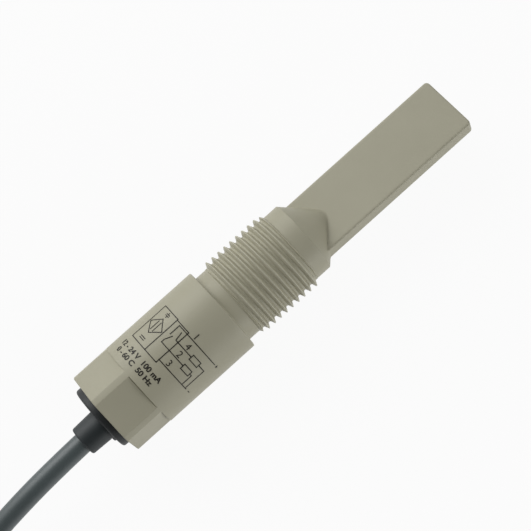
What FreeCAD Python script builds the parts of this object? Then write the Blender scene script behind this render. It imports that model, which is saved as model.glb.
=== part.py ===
import FreeCAD, Part
import math
import os
from FreeCAD import Placement, Rotation, Vector

# A capacitive proximity sensor: a moulded probe body with a G 1/2 process thread and a flat blade, a rear cap
# with a cable boot, a sensitivity adjuster and a light pipe, the electronics inside, and a cable of 2 m whose
# spare length is tied into a hank.
# Millimetres. +X runs along the thread's axis to the tip of the blade, +Z is up, and the origin is the middle
# of the process thread. The sensor lies on its round housing, and "setback" is measured forward from the
# housing's rear face.

# Process thread, with 14 turns to the inch, and its relief neck
THREAD_DIAMETER = 20.955
THREAD_PITCH = 25.4 / 14
THREAD_DEPTH_PER_PITCH = 0.6403
THREAD_FLANK_DEG = 27.5
THREAD_LENGTH = 17.0
NECK_DIAMETER = 18.5
NECK_LENGTH = 3.7

# Housing with its spanner hexagon
HOUSING_DIAMETER = 22.0
HOUSING_LENGTH = 35.5
HOUSING_EDGE = 0.3
HEX_SIDES = 6
HEX_ACROSS_FLATS = 19.8
HEX_LENGTH = 10.0
HEX_TURN_DEG = -13.2

# Plain tail, cone and blade
TAIL_DIAMETER = 18.5
TAIL_LENGTH = 4.1
CONE_HALF_ANGLE_DEG = 45.0
BLADE_WIDTH = 15.3
BLADE_THICKNESS = 4.0
BLADE_REACH = 45.7
BLADE_TURN_DEG = 21.7
BLADE_TIP_RADIUS = 1.0
BLADE_EDGE_RADIUS = 0.45

# Cavity of the probe body
BORE_DIAMETER = 15.0
BORE_LENGTH = 34.5
CORE_BORE_DIAMETER = 13.0
CONE_WALL = 3.0
TIP_WALL = 2.5

# Clearances
FIT_GAP = 0.05
RUNNING_GAP = 0.05
CUT_OVERSHOOT = 1.0
SHORTEST_EDGE = 1e-6

# Rear cap and its seal ring
CAP_DIAMETER = 16.5
CAP_FLANGE = 1.8
CAP_RIM_RADIUS = 0.6
CAP_SPIGOT_LENGTH = 6.0
CAP_GROOVE_SETBACK = 2.4
CAP_GROOVE_WIDTH = 1.2
CAP_SEAL_SECTION = 0.66

# Cable and the boot that it leaves by
CABLE_DIAMETER = 5.0
BOOT_Y = -1.3
BOOT_Z = 2.3
BOOT_LENGTH = 6.1
BOOT_BASE_DIAMETER = 7.75
BOOT_END_DIAMETER = 7.3
BOOT_RIM_RADIUS = 0.6
BOOT_NECK_DIAMETER = 6.6
BOOT_COLLAR_DIAMETER = 8.4
BOOT_COLLAR = 1.5
CRIMP_WALL = 0.4
CRIMP_LENGTH = 2.4
JACKET_STUB = 0.4

# Sensitivity adjuster: spindle, its seal ring and the trimmer that it turns
ADJUSTER_Y = -4.2
ADJUSTER_Z = -3.0
HEAD_DIAMETER = 3.6
HEAD_PROUD = 0.95
HEAD_SUNK = 0.65
HEAD_RIM_RADIUS = 0.4
SLOT_WIDTH = 0.6
SLOT_DEPTH = 0.7
STEM_DIAMETER = 2.4
STEM_GROOVE_SETBACK = 3.0
STEM_GROOVE_WIDTH = 0.8
STEM_SEAL_SECTION = 0.5
TONGUE_THICKNESS = 0.7
TONGUE_LENGTH = 1.0
TRIMMER_LENGTH = 4.4
TRIMMER_WIDTH = 4.0
ROTOR_DIAMETER = 2.2
ROTOR_LENGTH = 3.0
ROTOR_PROUD = 0.4

# Light pipe and status lamp
PIPE_Y = 4.6
PIPE_Z = -3.0
PIPE_DIAMETER = 2.0
PIPE_DOME = 0.3
LAMP_LENGTH = 1.6
LAMP_WIDTH = 2.0
LAMP_GAP = 0.1

# Shield sleeve and circuit board
SLEEVE_WALL = 0.3
SLEEVE_END_GAP = 0.2
BOARD_SETBACK = 11.0
BOARD_LENGTH = 22.6
BOARD_THICKNESS = 1.0
BOARD_TOP_Z = -0.4

# Components on the board: setback of the rear edge, size along X, Y and Z
CHIP_SETBACK = 20.0
CHIP_SIZE = (5.0, 4.0, 1.4)
TRANSISTOR_SETBACK = 26.6
TRANSISTOR_SIZE = (2.5, 1.6, 1.0)
TRANSISTOR_SPACING = 5.0
TRANSISTOR_COUNT = 2
CAPACITOR_SETBACK = 18.0
CAPACITOR_SIZE = (2.0, 1.25, 1.2)
CAPACITOR_SPACING = 3.4
CAPACITOR_COUNT = 4
RESISTOR_SETBACK = 23.0
RESISTOR_SIZE = (1.6, 0.8, 0.45)
RESISTOR_SPACING = 2.0
RESISTOR_COUNT = 5

# Electrode strip in the blade, its copper electrodes and the leads to the board
STRIP_WIDTH = 11.8
STRIP_THICKNESS = 1.0
STRIP_TAIL = 2.0
STRIP_SIDE_GAP = 0.1
FOIL_THICKNESS = 0.2
FOIL_MARGIN = 0.5
SENSING_LENGTH = 24.0
GUARD_LENGTH = 13.0
FOIL_SPACE = 1.0
LEAD_DIAMETER = 0.6
LEAD_SPACING = 3.0
LEAD_LAP = 2.5
LEAD_STRAIGHT = 4.0
LEAD_BEND_RADIUS = 4.0
PLUG_LENGTH = 9.0
PLUG_SETBACK = 41.0

# Cores of the cable, inside the housing and at the stripped far end
CORE_COLOURS = ("brown", "white", "blue", "black")
CORE_ORDER = (3, 0, 1, 2)
CORE_DIAMETER = 1.3
CORE_RING_RADIUS = 1.05
CORE_PAD_SPACING = 2.9
CORE_PAD_LAP = 3.0
CORE_RUN = 5.0
CORE_STRAIGHT = 1.2
CORE_BEND_RADIUS = 2.0
FERRULE_LENGTH = 7.0
FERRULE_DIAMETER = 1.0
FERRULE_COLLAR_DIAMETER = 1.7
FERRULE_COLLAR_LENGTH = 2.0

# Free cable: its route after the boot, the hank of its spare length and the stripped tail
LEAD_ROUTE = [
    (-84.0, -3.2, -1.6),
    (-103.0, -6.3, -7.3),
    (-121.0, -8.4, -7.7),
    (-135.0, -8.5, -7.7),
]
LEAD_FIRST_RUN = 23.3
TAIL_ROUTE = [
    (-120.0, -3.2, -7.7),
    (-128.0, -2.8, -7.8),
    (-135.0, -0.6, -8.2),
    (-142.0, 1.2, -8.5),
]
HANK_NEAR_X = -123.0
HANK_CENTRE_Y = 11.5
HANK_STRAIGHT = 49.0
HANK_FOLD_RADIUS = 15.0
HANK_COLUMNS = 2
HANK_LEVELS = 5
TIE_WIDTH = 2.5
TIE_THICKNESS = 0.8
TIE_HEAD_LENGTH = 4.4
TIE_HEAD_WIDTH = 3.4
TIE_HEAD_HEIGHT = 2.6
CORD_BEND_SHARE = 0.45
TAIL_CORE_GAP = 0.3
TAIL_CORE_STEPS = (10.0, 20.5, 31.0)
TAIL_CORE_SPREAD = (0.2, 0.58, 1.0)
TAIL_CORE_DROP = (0.16, 1.0, 1.0)
TAIL_CORE_FIRST_Y = 6.0
TAIL_CORE_SPACING = 3.5

# Places that follow from the sizes
AXIS = Vector(1, 0, 0)
rear_face = -THREAD_LENGTH / 2 - NECK_LENGTH - HOUSING_LENGTH
shoulder = -THREAD_LENGTH / 2 - NECK_LENGTH
tail_end = THREAD_LENGTH / 2 + TAIL_LENGTH
tip = tail_end + BLADE_REACH
thread_root = THREAD_DIAMETER / 2 - THREAD_DEPTH_PER_PITCH * THREAD_PITCH
floor_z = -HOUSING_DIAMETER / 2
bore_end = rear_face + BORE_LENGTH
core_bore_end = tail_end - CONE_WALL
cap_face = rear_face - CAP_FLANGE
spigot_end = rear_face + CAP_SPIGOT_LENGTH
boot_end = cap_face - BOOT_LENGTH
collar_end = spigot_end + BOOT_COLLAR
crimp_start = collar_end + FIT_GAP
jacket_end = crimp_start + CRIMP_LENGTH + JACKET_STUB
board_start = rear_face + BOARD_SETBACK
board_end = board_start + BOARD_LENGTH
board_bottom_z = BOARD_TOP_Z - BOARD_THICKNESS
sleeve_outer = BORE_DIAMETER / 2 - FIT_GAP
sleeve_inner = sleeve_outer - SLEEVE_WALL
sleeve_room = 2 * (sleeve_inner - FIT_GAP)
pocket_width = STRIP_WIDTH + 2 * STRIP_SIDE_GAP
pocket_thickness = STRIP_THICKNESS + 2 * FOIL_THICKNESS + 2 * FIT_GAP
pocket_end = tip - TIP_WALL
strip_end = pocket_end - FIT_GAP
strip_start = core_bore_end - STRIP_TAIL
cable_radius = CABLE_DIAMETER / 2
blade_turn = Rotation(AXIS, -BLADE_TURN_DEG)


def cylinder(start, end, diameter, y=0.0, z=0.0):
    """Round bar along X from start to end."""
    return Part.makeCylinder(diameter / 2, end - start, Vector(start, y, z), AXIS)


def block(low, high):
    """Box between two corners."""
    size = Vector(*high) - Vector(*low)
    return Part.makeBox(size.x, size.y, size.z, Vector(*low))


def rounded_path(points, radii, closed=False):
    """Wire through the points, with a tangent arc of the given radius at each corner (0 stays sharp)."""
    count = len(points)
    arrive = []
    leave = []
    middle = []
    for i, point in enumerate(points):
        end_point = not closed and i in (0, count - 1)
        if end_point or radii[i] == 0:
            arrive.append(point)
            leave.append(point)
            middle.append(None)
            continue
        come = (point - points[i - 1]).normalize()
        go = (points[(i + 1) % count] - point).normalize()
        half_turn = come.getAngle(go) / 2
        setback = radii[i] * math.tan(half_turn)
        inward = (go - come).normalize()
        arrive.append(point - come * setback)
        leave.append(point + go * setback)
        middle.append(point + inward * (radii[i] / math.cos(half_turn) - radii[i]))
    edges = []
    for i in range(count):
        if middle[i] is not None:
            edges.append(Part.Arc(arrive[i], middle[i], leave[i]).toShape())
        if i + 1 < count or closed:
            onward = arrive[(i + 1) % count]
            if (onward - leave[i]).Length > SHORTEST_EDGE:
                edges.append(Part.LineSegment(leave[i], onward).toShape())
    return Part.Wire(edges)


def turned(profile, y=0.0, z=0.0):
    """Solid turned about an axis along X from a closed outline of (x, radius, corner radius)."""
    points = [Vector(x, y, z + radius) for x, radius, _ in profile]
    outline = rounded_path(points, [corner for _, _, corner in profile], closed=True)
    return Part.Face(outline).revolve(Vector(0, y, z), AXIS, 360)


def sweep(path, start, direction, diameter):
    """Round tube of one diameter along a path of straight runs and arcs."""
    section = Part.Wire(Part.makeCircle(diameter / 2, start, direction))
    return path.makePipeShell([section], True, False)


def tube(points, bend_radius, diameter):
    """Tube along corner points with the same bend at each corner."""
    path = rounded_path(points, [bend_radius] * len(points))
    return sweep(path, points[0], points[1] - points[0], diameter)


def cord(name, points, diameter):
    """Tube of a cord, each bend as large as its two runs allow; prints its radii and its volume's ratio."""
    radii = [0.0]
    for before, point, after in zip(points, points[1:], points[2:]):
        shorter = min((point - before).Length, (after - point).Length)
        half_turn = (point - before).getAngle(after - point) / 2
        radii.append(CORD_BEND_SHARE * shorter / math.tan(half_turn))
    radii.append(0.0)
    path = rounded_path(points, radii)
    solid = sweep(path, points[0], points[1] - points[0], diameter)
    ratio = solid.Volume / (math.pi * diameter**2 / 4 * path.Length)
    bends = ", ".join(f"{radius:.1f}" for radius in radii[1:-1])
    print(f"{name}: length {path.Length:.1f} mm, bend radii {bends} mm, volume ratio {ratio:.4f}")
    return solid


def ring(centre_x, inner_diameter, section, y=0.0, z=0.0):
    """Lathe-cut seal ring of square section about an axis along X."""
    inner = inner_diameter / 2
    outline = [
        (centre_x - section / 2, inner, 0),
        (centre_x - section / 2, inner + section, 0),
        (centre_x + section / 2, inner + section, 0),
        (centre_x + section / 2, inner, 0),
    ]
    return turned(outline, y, z)


def fused(shapes):
    """One solid from shapes that overlap."""
    return shapes[0].multiFuse(shapes[1:]).removeSplitter()


def on_blade(shape):
    """Turns a shape about X from level to the blade's own tilt."""
    shape.Placement = Placement(Vector(), blade_turn) * shape.Placement
    return shape


def save(name, shape):
    """Writes one node."""
    shape.exportStep(f"parts/{name}.step")


def make_blade():
    """Flat blade with rounded tip corners and softened edges, from inside the cone to the tip."""
    half = BLADE_WIDTH / 2
    corners = [
        Vector(core_bore_end, -half, 0),
        Vector(tip, -half, 0),
        Vector(tip, half, 0),
        Vector(core_bore_end, half, 0),
    ]
    radii = [0.0, BLADE_TIP_RADIUS, BLADE_TIP_RADIUS, 0.0]
    face = Part.Face(rounded_path(corners, radii, closed=True))
    blade = face.extrude(Vector(0, 0, BLADE_THICKNESS))
    blade.translate(Vector(0, 0, -BLADE_THICKNESS / 2))
    rims = []
    for edge in blade.Edges:
        spans = edge.BoundBox
        level = spans.ZLength < BLADE_THICKNESS / 2
        if level and spans.XMax > core_bore_end + BLADE_TIP_RADIUS:
            rims.append(edge)
    return on_blade(blade.makeFillet(BLADE_EDGE_RADIUS, rims))


def thread_turns():
    """Outline of the thread's turns as rings one pitch apart, each with two flanks and a flat crest."""
    flank = (THREAD_DIAMETER / 2 - thread_root) * math.tan(math.radians(THREAD_FLANK_DEG))
    half_crest = THREAD_PITCH / 4 - flank / 2
    count = math.floor(THREAD_LENGTH / THREAD_PITCH)
    outline = []
    for i in range(count):
        middle = THREAD_PITCH * (i - (count - 1) / 2)
        outline += [
            (middle - half_crest - flank, thread_root, 0),
            (middle - half_crest, THREAD_DIAMETER / 2, 0),
            (middle + half_crest, THREAD_DIAMETER / 2, 0),
            (middle + half_crest + flank, thread_root, 0),
        ]
    return outline


def make_probe_body():
    """Moulded body: turned outside, blade, six spanner flats, stepped bore and the blade's pocket."""
    cone_length = TAIL_DIAMETER / 2 / math.tan(math.radians(CONE_HALF_ANGLE_DEG))
    housing = HOUSING_DIAMETER / 2
    thread_end = THREAD_LENGTH / 2
    outline = [
        (rear_face, 0, 0),
        (rear_face, housing - HOUSING_EDGE, 0),
        (rear_face + HOUSING_EDGE, housing, 0),
        (shoulder - HOUSING_EDGE, housing, 0),
        (shoulder, housing - HOUSING_EDGE, 0),
        (shoulder, NECK_DIAMETER / 2, 0),
        (-thread_end, NECK_DIAMETER / 2, 0),
        (-thread_end, thread_root, 0),
        *thread_turns(),
        (thread_end, thread_root, 0),
        (thread_end, TAIL_DIAMETER / 2, 0),
        (tail_end, TAIL_DIAMETER / 2, 0),
        (tail_end + cone_length, 0, 0),
    ]
    body = fused([turned(outline), make_blade()])
    flat = HEX_ACROSS_FLATS / 2
    slice_off = block(
        (rear_face - CUT_OVERSHOOT, -housing, flat),
        (rear_face + HEX_LENGTH, housing, housing + CUT_OVERSHOOT),
    )
    flats = []
    for i in range(HEX_SIDES):
        cutter = slice_off.copy()
        cutter.rotate(Vector(), AXIS, 360 / HEX_SIDES * i - HEX_TURN_DEG)
        flats.append(cutter)
    pocket = on_blade(
        block(
            (core_bore_end - CONE_WALL, -pocket_width / 2, -pocket_thickness / 2),
            (pocket_end, pocket_width / 2, pocket_thickness / 2),
        )
    )
    cavity = [
        cylinder(rear_face - CUT_OVERSHOOT, bore_end, BORE_DIAMETER),
        cylinder(bore_end - CUT_OVERSHOOT, core_bore_end, CORE_BORE_DIAMETER),
        pocket,
    ]
    return body.cut(flats + cavity).removeSplitter()


def make_rear_cap():
    """Flange on the rear face and a spigot in the bore, with holes for boot, adjuster and light pipe."""
    spigot = BORE_DIAMETER / 2 - FIT_GAP
    groove = rear_face + CAP_GROOVE_SETBACK
    groove_floor = BORE_DIAMETER / 2 - CAP_SEAL_SECTION - FIT_GAP
    outline = [
        (cap_face, 0, 0),
        (cap_face, CAP_DIAMETER / 2, CAP_RIM_RADIUS),
        (rear_face, CAP_DIAMETER / 2, 0),
        (rear_face, spigot, 0),
        (groove, spigot, 0),
        (groove, groove_floor, 0),
        (groove + CAP_GROOVE_WIDTH, groove_floor, 0),
        (groove + CAP_GROOVE_WIDTH, spigot, 0),
        (spigot_end, spigot, 0),
        (spigot_end, 0, 0),
    ]
    head_hole = HEAD_DIAMETER + 2 * RUNNING_GAP
    stem_hole = STEM_DIAMETER + 2 * RUNNING_GAP
    cap_start = cap_face - CUT_OVERSHOOT
    cap_stop = spigot_end + CUT_OVERSHOOT
    holes = [
        cylinder(cap_start, cap_stop, BOOT_NECK_DIAMETER + 2 * FIT_GAP, BOOT_Y, BOOT_Z),
        cylinder(cap_start, cap_face + HEAD_SUNK + RUNNING_GAP, head_hole, ADJUSTER_Y, ADJUSTER_Z),
        cylinder(cap_start, cap_stop, stem_hole, ADJUSTER_Y, ADJUSTER_Z),
        cylinder(cap_start, cap_stop, PIPE_DIAMETER + 2 * FIT_GAP, PIPE_Y, PIPE_Z),
    ]
    return turned(outline).cut(holes)


def make_cap_seal_ring():
    """Seal ring in the spigot's groove."""
    inner = BORE_DIAMETER - 2 * CAP_SEAL_SECTION - FIT_GAP
    return ring(rear_face + CAP_GROOVE_SETBACK + CAP_GROOVE_WIDTH / 2, inner, CAP_SEAL_SECTION)


def make_cable_boot():
    """Rubber sleeve: tapered outside, a neck through the cap and a collar that snaps in behind it."""
    bore = cable_radius + FIT_GAP
    outline = [
        (boot_end, bore, 0),
        (boot_end, BOOT_END_DIAMETER / 2, BOOT_RIM_RADIUS),
        (cap_face, BOOT_BASE_DIAMETER / 2, 0),
        (cap_face, BOOT_NECK_DIAMETER / 2, 0),
        (spigot_end, BOOT_NECK_DIAMETER / 2, 0),
        (spigot_end, BOOT_COLLAR_DIAMETER / 2, 0),
        (collar_end, BOOT_COLLAR_DIAMETER / 2, 0),
        (collar_end, bore, 0),
    ]
    return turned(outline, BOOT_Y, BOOT_Z)


def make_cable_crimp():
    """Brass ring crimped on the jacket behind the boot, which keeps the cable from being pulled out."""
    bore = cable_radius + FIT_GAP
    outline = [
        (crimp_start, bore, 0),
        (crimp_start, bore + CRIMP_WALL, 0),
        (crimp_start + CRIMP_LENGTH, bore + CRIMP_WALL, 0),
        (crimp_start + CRIMP_LENGTH, bore, 0),
    ]
    return turned(outline, BOOT_Y, BOOT_Z)


head_back = cap_face - HEAD_PROUD
head_seat = cap_face + HEAD_SUNK
trimmer_start = board_start
rotor_start = trimmer_start - ROTOR_PROUD
stem_end = rotor_start - FIT_GAP
stem_groove = rear_face + STEM_GROOVE_SETBACK


def make_adjuster_spindle():
    """Slotted head in the cap's recess, stem with a seal groove, and the tongue that turns the trimmer."""
    stem = STEM_DIAMETER / 2
    groove_floor = stem - STEM_SEAL_SECTION - FIT_GAP
    outline = [
        (head_back, 0, 0),
        (head_back, HEAD_DIAMETER / 2, HEAD_RIM_RADIUS),
        (head_seat, HEAD_DIAMETER / 2, 0),
        (head_seat, stem, 0),
        (stem_groove, stem, 0),
        (stem_groove, groove_floor, 0),
        (stem_groove + STEM_GROOVE_WIDTH, groove_floor, 0),
        (stem_groove + STEM_GROOVE_WIDTH, stem, 0),
        (stem_end, stem, 0),
        (stem_end, 0, 0),
    ]
    body = turned(outline, ADJUSTER_Y, ADJUSTER_Z)
    slot = block(
        (head_back - CUT_OVERSHOOT, ADJUSTER_Y - HEAD_DIAMETER, ADJUSTER_Z - SLOT_WIDTH / 2),
        (head_back + SLOT_DEPTH, ADJUSTER_Y + HEAD_DIAMETER, ADJUSTER_Z + SLOT_WIDTH / 2),
    )
    tongue_start = stem_end - CUT_OVERSHOOT
    tongue_end = stem_end + TONGUE_LENGTH
    tongue = block(
        (tongue_start, ADJUSTER_Y - STEM_DIAMETER, ADJUSTER_Z - TONGUE_THICKNESS / 2),
        (tongue_end, ADJUSTER_Y + STEM_DIAMETER, ADJUSTER_Z + TONGUE_THICKNESS / 2),
    )
    narrower = min(STEM_DIAMETER, ROTOR_DIAMETER)
    tongue = tongue.common(cylinder(tongue_start, tongue_end, narrower, ADJUSTER_Y, ADJUSTER_Z))
    return fused([body.cut(slot), tongue])


def make_spindle_seal_ring():
    """Seal ring in the stem's groove, turning with it."""
    inner = STEM_DIAMETER - 2 * STEM_SEAL_SECTION
    return ring(stem_groove + STEM_GROOVE_WIDTH / 2, inner, STEM_SEAL_SECTION, ADJUSTER_Y, ADJUSTER_Z)


def make_trimmer_rotor():
    """Rotor of the trimmer, slotted for the spindle's tongue."""
    rotor = cylinder(rotor_start, rotor_start + ROTOR_LENGTH, ROTOR_DIAMETER, ADJUSTER_Y, ADJUSTER_Z)
    half = TONGUE_THICKNESS / 2 + FIT_GAP
    slot = block(
        (rotor_start - CUT_OVERSHOOT, ADJUSTER_Y - ROTOR_DIAMETER, ADJUSTER_Z - half),
        (stem_end + TONGUE_LENGTH + FIT_GAP, ADJUSTER_Y + ROTOR_DIAMETER, ADJUSTER_Z + half),
    )
    return rotor.cut(slot)


def make_trimmer_case():
    """Case of the trimmer under the board, with the rotor's pocket."""
    half_height = board_bottom_z - ADJUSTER_Z
    case = block(
        (trimmer_start, ADJUSTER_Y - TRIMMER_WIDTH / 2, ADJUSTER_Z - half_height),
        (trimmer_start + TRIMMER_LENGTH, ADJUSTER_Y + TRIMMER_WIDTH / 2, board_bottom_z),
    )
    pocket_end_x = rotor_start + ROTOR_LENGTH + RUNNING_GAP
    pocket_diameter = ROTOR_DIAMETER + 2 * RUNNING_GAP
    case = case.cut(cylinder(rotor_start, pocket_end_x, pocket_diameter, ADJUSTER_Y, ADJUSTER_Z))
    return case.common(cylinder(trimmer_start, trimmer_start + TRIMMER_LENGTH, sleeve_room))


lamp_start = board_start


def make_light_pipe():
    """Clear rod from the cap's face to the lamp, with a low dome outside."""
    radius = PIPE_DIAMETER / 2
    outline = [
        (cap_face - PIPE_DOME, 0, 0),
        (cap_face - PIPE_DOME, radius, PIPE_DOME),
        (lamp_start - LAMP_GAP, radius, 0),
        (lamp_start - LAMP_GAP, 0, 0),
    ]
    return turned(outline, PIPE_Y, PIPE_Z)


def make_status_lamp():
    """Right-angle lamp under the board, facing the light pipe."""
    height = board_bottom_z - PIPE_Z + PIPE_DIAMETER / 2
    lamp = block(
        (lamp_start, PIPE_Y - LAMP_WIDTH / 2, board_bottom_z - height),
        (lamp_start + LAMP_LENGTH, PIPE_Y + LAMP_WIDTH / 2, board_bottom_z),
    )
    return lamp.common(cylinder(lamp_start, lamp_start + LAMP_LENGTH, sleeve_room))


def make_shield_sleeve():
    """Thin brass sleeve that lines the bore around the electronics."""
    start = spigot_end + SLEEVE_END_GAP
    end = bore_end - SLEEVE_END_GAP
    hollow = cylinder(start - CUT_OVERSHOOT, end + CUT_OVERSHOOT, 2 * sleeve_inner)
    return cylinder(start, end, 2 * sleeve_outer).cut(hollow)


def make_circuit_board():
    """Board across the sleeve, its long edges held by the sleeve's wall."""
    reach = max(abs(BOARD_TOP_Z), abs(board_bottom_z))
    half_width = math.sqrt((sleeve_room / 2) ** 2 - reach**2)
    return block((board_start, -half_width, board_bottom_z), (board_end, half_width, BOARD_TOP_Z))


def component(setback, centre_y, size, below=False):
    """Component on the board's upper or lower face."""
    start = rear_face + setback
    low_z = board_bottom_z - size[2] if below else BOARD_TOP_Z
    low = (start, centre_y - size[1] / 2, low_z)
    high = (start + size[0], centre_y + size[1] / 2, low_z + size[2])
    return block(low, high)


def component_row(setback, size, spacing, count, below):
    """Row of like components across the board."""
    first = -spacing * (count - 1) / 2
    return Part.makeCompound([component(setback, first + spacing * i, size, below) for i in range(count)])


def blade_point(x, along_width, along_normal):
    """Point in the tilted blade's frame."""
    return blade_turn.multVec(Vector(x, along_width, along_normal))


def make_electrode_strip():
    """Strip of board in the blade's pocket, which carries the electrodes."""
    half = STRIP_THICKNESS / 2
    return on_blade(block((strip_start, -STRIP_WIDTH / 2, -half), (strip_end, STRIP_WIDTH / 2, half)))


def make_foil(start, length):
    """Copper electrode on both faces of the strip."""
    half_width = STRIP_WIDTH / 2 - FOIL_MARGIN
    inner = STRIP_THICKNESS / 2
    outer = inner + FOIL_THICKNESS
    upper = block((start, -half_width, inner), (start + length, half_width, outer))
    lower = block((start, -half_width, -outer), (start + length, half_width, -inner))
    return Part.makeCompound([on_blade(upper), on_blade(lower)])


def lead_points(side):
    """Corner points of one electrode lead, from the board's upper face to the strip."""
    offset = side * LEAD_SPACING / 2
    board_z = BOARD_TOP_Z + LEAD_DIAMETER / 2
    strip_z = STRIP_THICKNESS / 2 + LEAD_DIAMETER / 2
    return [
        Vector(board_end - LEAD_LAP, offset, board_z),
        Vector(board_end + LEAD_STRAIGHT, offset, board_z),
        blade_point(strip_start - LEAD_STRAIGHT, offset, strip_z),
        blade_point(strip_start + STRIP_TAIL / 2, offset, strip_z),
    ]


def make_potting_plug():
    """Resin plug in the core bore, cast around the two leads."""
    start = rear_face + PLUG_SETBACK
    plug = cylinder(start, start + PLUG_LENGTH, CORE_BORE_DIAMETER - 2 * FIT_GAP)
    channel = LEAD_DIAMETER + 2 * FIT_GAP
    return plug.cut([tube(lead_points(side), LEAD_BEND_RADIUS, channel) for side in (-1, 1)])


def core_offset(index):
    """Place of a core in the cable's section: four cores in a ring."""
    angle = math.tau * (index + 0.5) / len(CORE_COLOURS)
    return Vector(0, CORE_RING_RADIUS * math.cos(angle), CORE_RING_RADIUS * math.sin(angle))


def inner_core_points(index):
    """Corner points of one core from the jacket's inner end down to its pad on the board."""
    start = Vector(jacket_end, BOOT_Y, BOOT_Z) + core_offset(index)
    middle = (len(CORE_COLOURS) - 1) / 2
    pad_y = BOOT_Y + CORE_PAD_SPACING * (CORE_ORDER[index] - middle)
    pad = Vector(jacket_end + CORE_STRAIGHT + CORE_RUN, pad_y, BOARD_TOP_Z + CORE_DIAMETER / 2)
    return [start, start + AXIS * CORE_STRAIGHT, pad, pad + AXIS * CORE_PAD_LAP]


def tail_core_points(index):
    """Route of one stripped core: out of the jacket's end, fanning out and down to the surface."""
    jacket_tip = Vector(*TAIL_ROUTE[-1])
    onward = (jacket_tip - Vector(*TAIL_ROUTE[-2])).normalize()
    start = jacket_tip + onward * TAIL_CORE_GAP + core_offset(index)
    end_y = TAIL_CORE_FIRST_Y + TAIL_CORE_SPACING * CORE_ORDER[index]
    end_z = floor_z + FERRULE_COLLAR_DIAMETER / 2
    points = [start]
    for step, spread, drop in zip(TAIL_CORE_STEPS, TAIL_CORE_SPREAD, TAIL_CORE_DROP):
        y = start.y + (end_y - start.y) * spread
        z = start.z + (end_z - start.z) * drop
        points.append(Vector(start.x - step, y, z))
    return points


def make_ferrule(index):
    """Crimped ferrule with a collar on the end of one stripped core."""
    points = tail_core_points(index)
    onward = (points[-1] - points[-2]).normalize()
    collar = Part.makeCylinder(FERRULE_COLLAR_DIAMETER / 2, FERRULE_COLLAR_LENGTH, points[-1], onward)
    barrel = Part.makeCylinder(FERRULE_DIAMETER / 2, FERRULE_LENGTH, points[-1], onward)
    return fused([collar, barrel])


hank_bottom = floor_z + TIE_THICKNESS
hank_height = HANK_LEVELS * CABLE_DIAMETER
hank_inner = HANK_FOLD_RADIUS - cable_radius
hank_outer = hank_inner + HANK_COLUMNS * CABLE_DIAMETER
bundle_offset = (hank_inner + hank_outer) / 2


def bundle_section(x, middle_y, grow=0.0):
    """Section of one bundle of the hank, its corners cut at 45 degrees to follow the cable's roundness."""
    half_width = (hank_outer - hank_inner) / 2 + grow
    low = hank_bottom - grow
    high = hank_bottom + hank_height + grow
    cut = (2 - math.sqrt(2)) * (cable_radius + grow)
    left = middle_y - half_width
    right = middle_y + half_width
    corners = [
        Vector(x, left + cut, low),
        Vector(x, right - cut, low),
        Vector(x, right, low + cut),
        Vector(x, right, high - cut),
        Vector(x, right - cut, high),
        Vector(x, left + cut, high),
        Vector(x, left, high - cut),
        Vector(x, left, low + cut),
    ]
    return Part.Face(Part.makePolygon(corners + corners[:1]))


def make_cable_hank():
    """Outer shape of the hank: two straight bundles joined by half-round folds."""
    section = bundle_section(HANK_NEAR_X, HANK_CENTRE_Y - bundle_offset)
    near_side = section.extrude(AXIS * -HANK_STRAIGHT)
    near_fold = section.revolve(Vector(HANK_NEAR_X, HANK_CENTRE_Y, 0), Vector(0, 0, 1), 180)
    turn_about = Vector(HANK_NEAR_X - HANK_STRAIGHT / 2, HANK_CENTRE_Y, 0)
    other_half = fused([near_side, near_fold])
    half = other_half.copy()
    other_half.rotate(turn_about, Vector(0, 0, 1), 180)
    return fused([half, other_half])


def make_tie(side):
    """Plastic tie round one straight bundle of the hank, with its head on top."""
    middle_x = HANK_NEAR_X - HANK_STRAIGHT / 2
    middle_y = HANK_CENTRE_Y + side * bundle_offset
    start = middle_x - TIE_WIDTH / 2
    outside = bundle_section(start, middle_y, TIE_THICKNESS).extrude(AXIS * TIE_WIDTH)
    inside = bundle_section(start, middle_y).extrude(AXIS * TIE_WIDTH)
    head_z = hank_bottom + hank_height
    head = block(
        (middle_x - TIE_HEAD_LENGTH / 2, middle_y - TIE_HEAD_WIDTH / 2, head_z),
        (middle_x + TIE_HEAD_LENGTH / 2, middle_y + TIE_HEAD_WIDTH / 2, head_z + TIE_HEAD_HEIGHT),
    )
    return fused([outside.cut(inside), head])


def make_cable():
    """Free cable from its inner end, through the boot and down to the hank."""
    start = Vector(jacket_end, BOOT_Y, BOOT_Z)
    points = [start, start - AXIS * LEAD_FIRST_RUN]
    return cord("cable", points + [Vector(*point) for point in LEAD_ROUTE], CABLE_DIAMETER)


os.makedirs("parts", exist_ok=True)
save("probe_body", make_probe_body())
save("rear_cap", make_rear_cap())
save("cap_seal_ring", make_cap_seal_ring())
save("cable_boot", make_cable_boot())
save("cable_crimp", make_cable_crimp())
save("adjuster_spindle", make_adjuster_spindle())
save("spindle_seal_ring", make_spindle_seal_ring())
save("trimmer_rotor", make_trimmer_rotor())
save("trimmer_case", make_trimmer_case())
save("light_pipe", make_light_pipe())
save("status_lamp", make_status_lamp())
save("shield_sleeve", make_shield_sleeve())
save("circuit_board", make_circuit_board())
save("oscillator_chip", component(CHIP_SETBACK, 0.0, CHIP_SIZE))
transistors = component_row(TRANSISTOR_SETBACK, TRANSISTOR_SIZE, TRANSISTOR_SPACING, TRANSISTOR_COUNT, False)
save("switching_transistors", transistors)
capacitors = component_row(CAPACITOR_SETBACK, CAPACITOR_SIZE, CAPACITOR_SPACING, CAPACITOR_COUNT, True)
save("chip_capacitors", capacitors)
resistors = component_row(RESISTOR_SETBACK, RESISTOR_SIZE, RESISTOR_SPACING, RESISTOR_COUNT, True)
save("chip_resistors", resistors)
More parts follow.
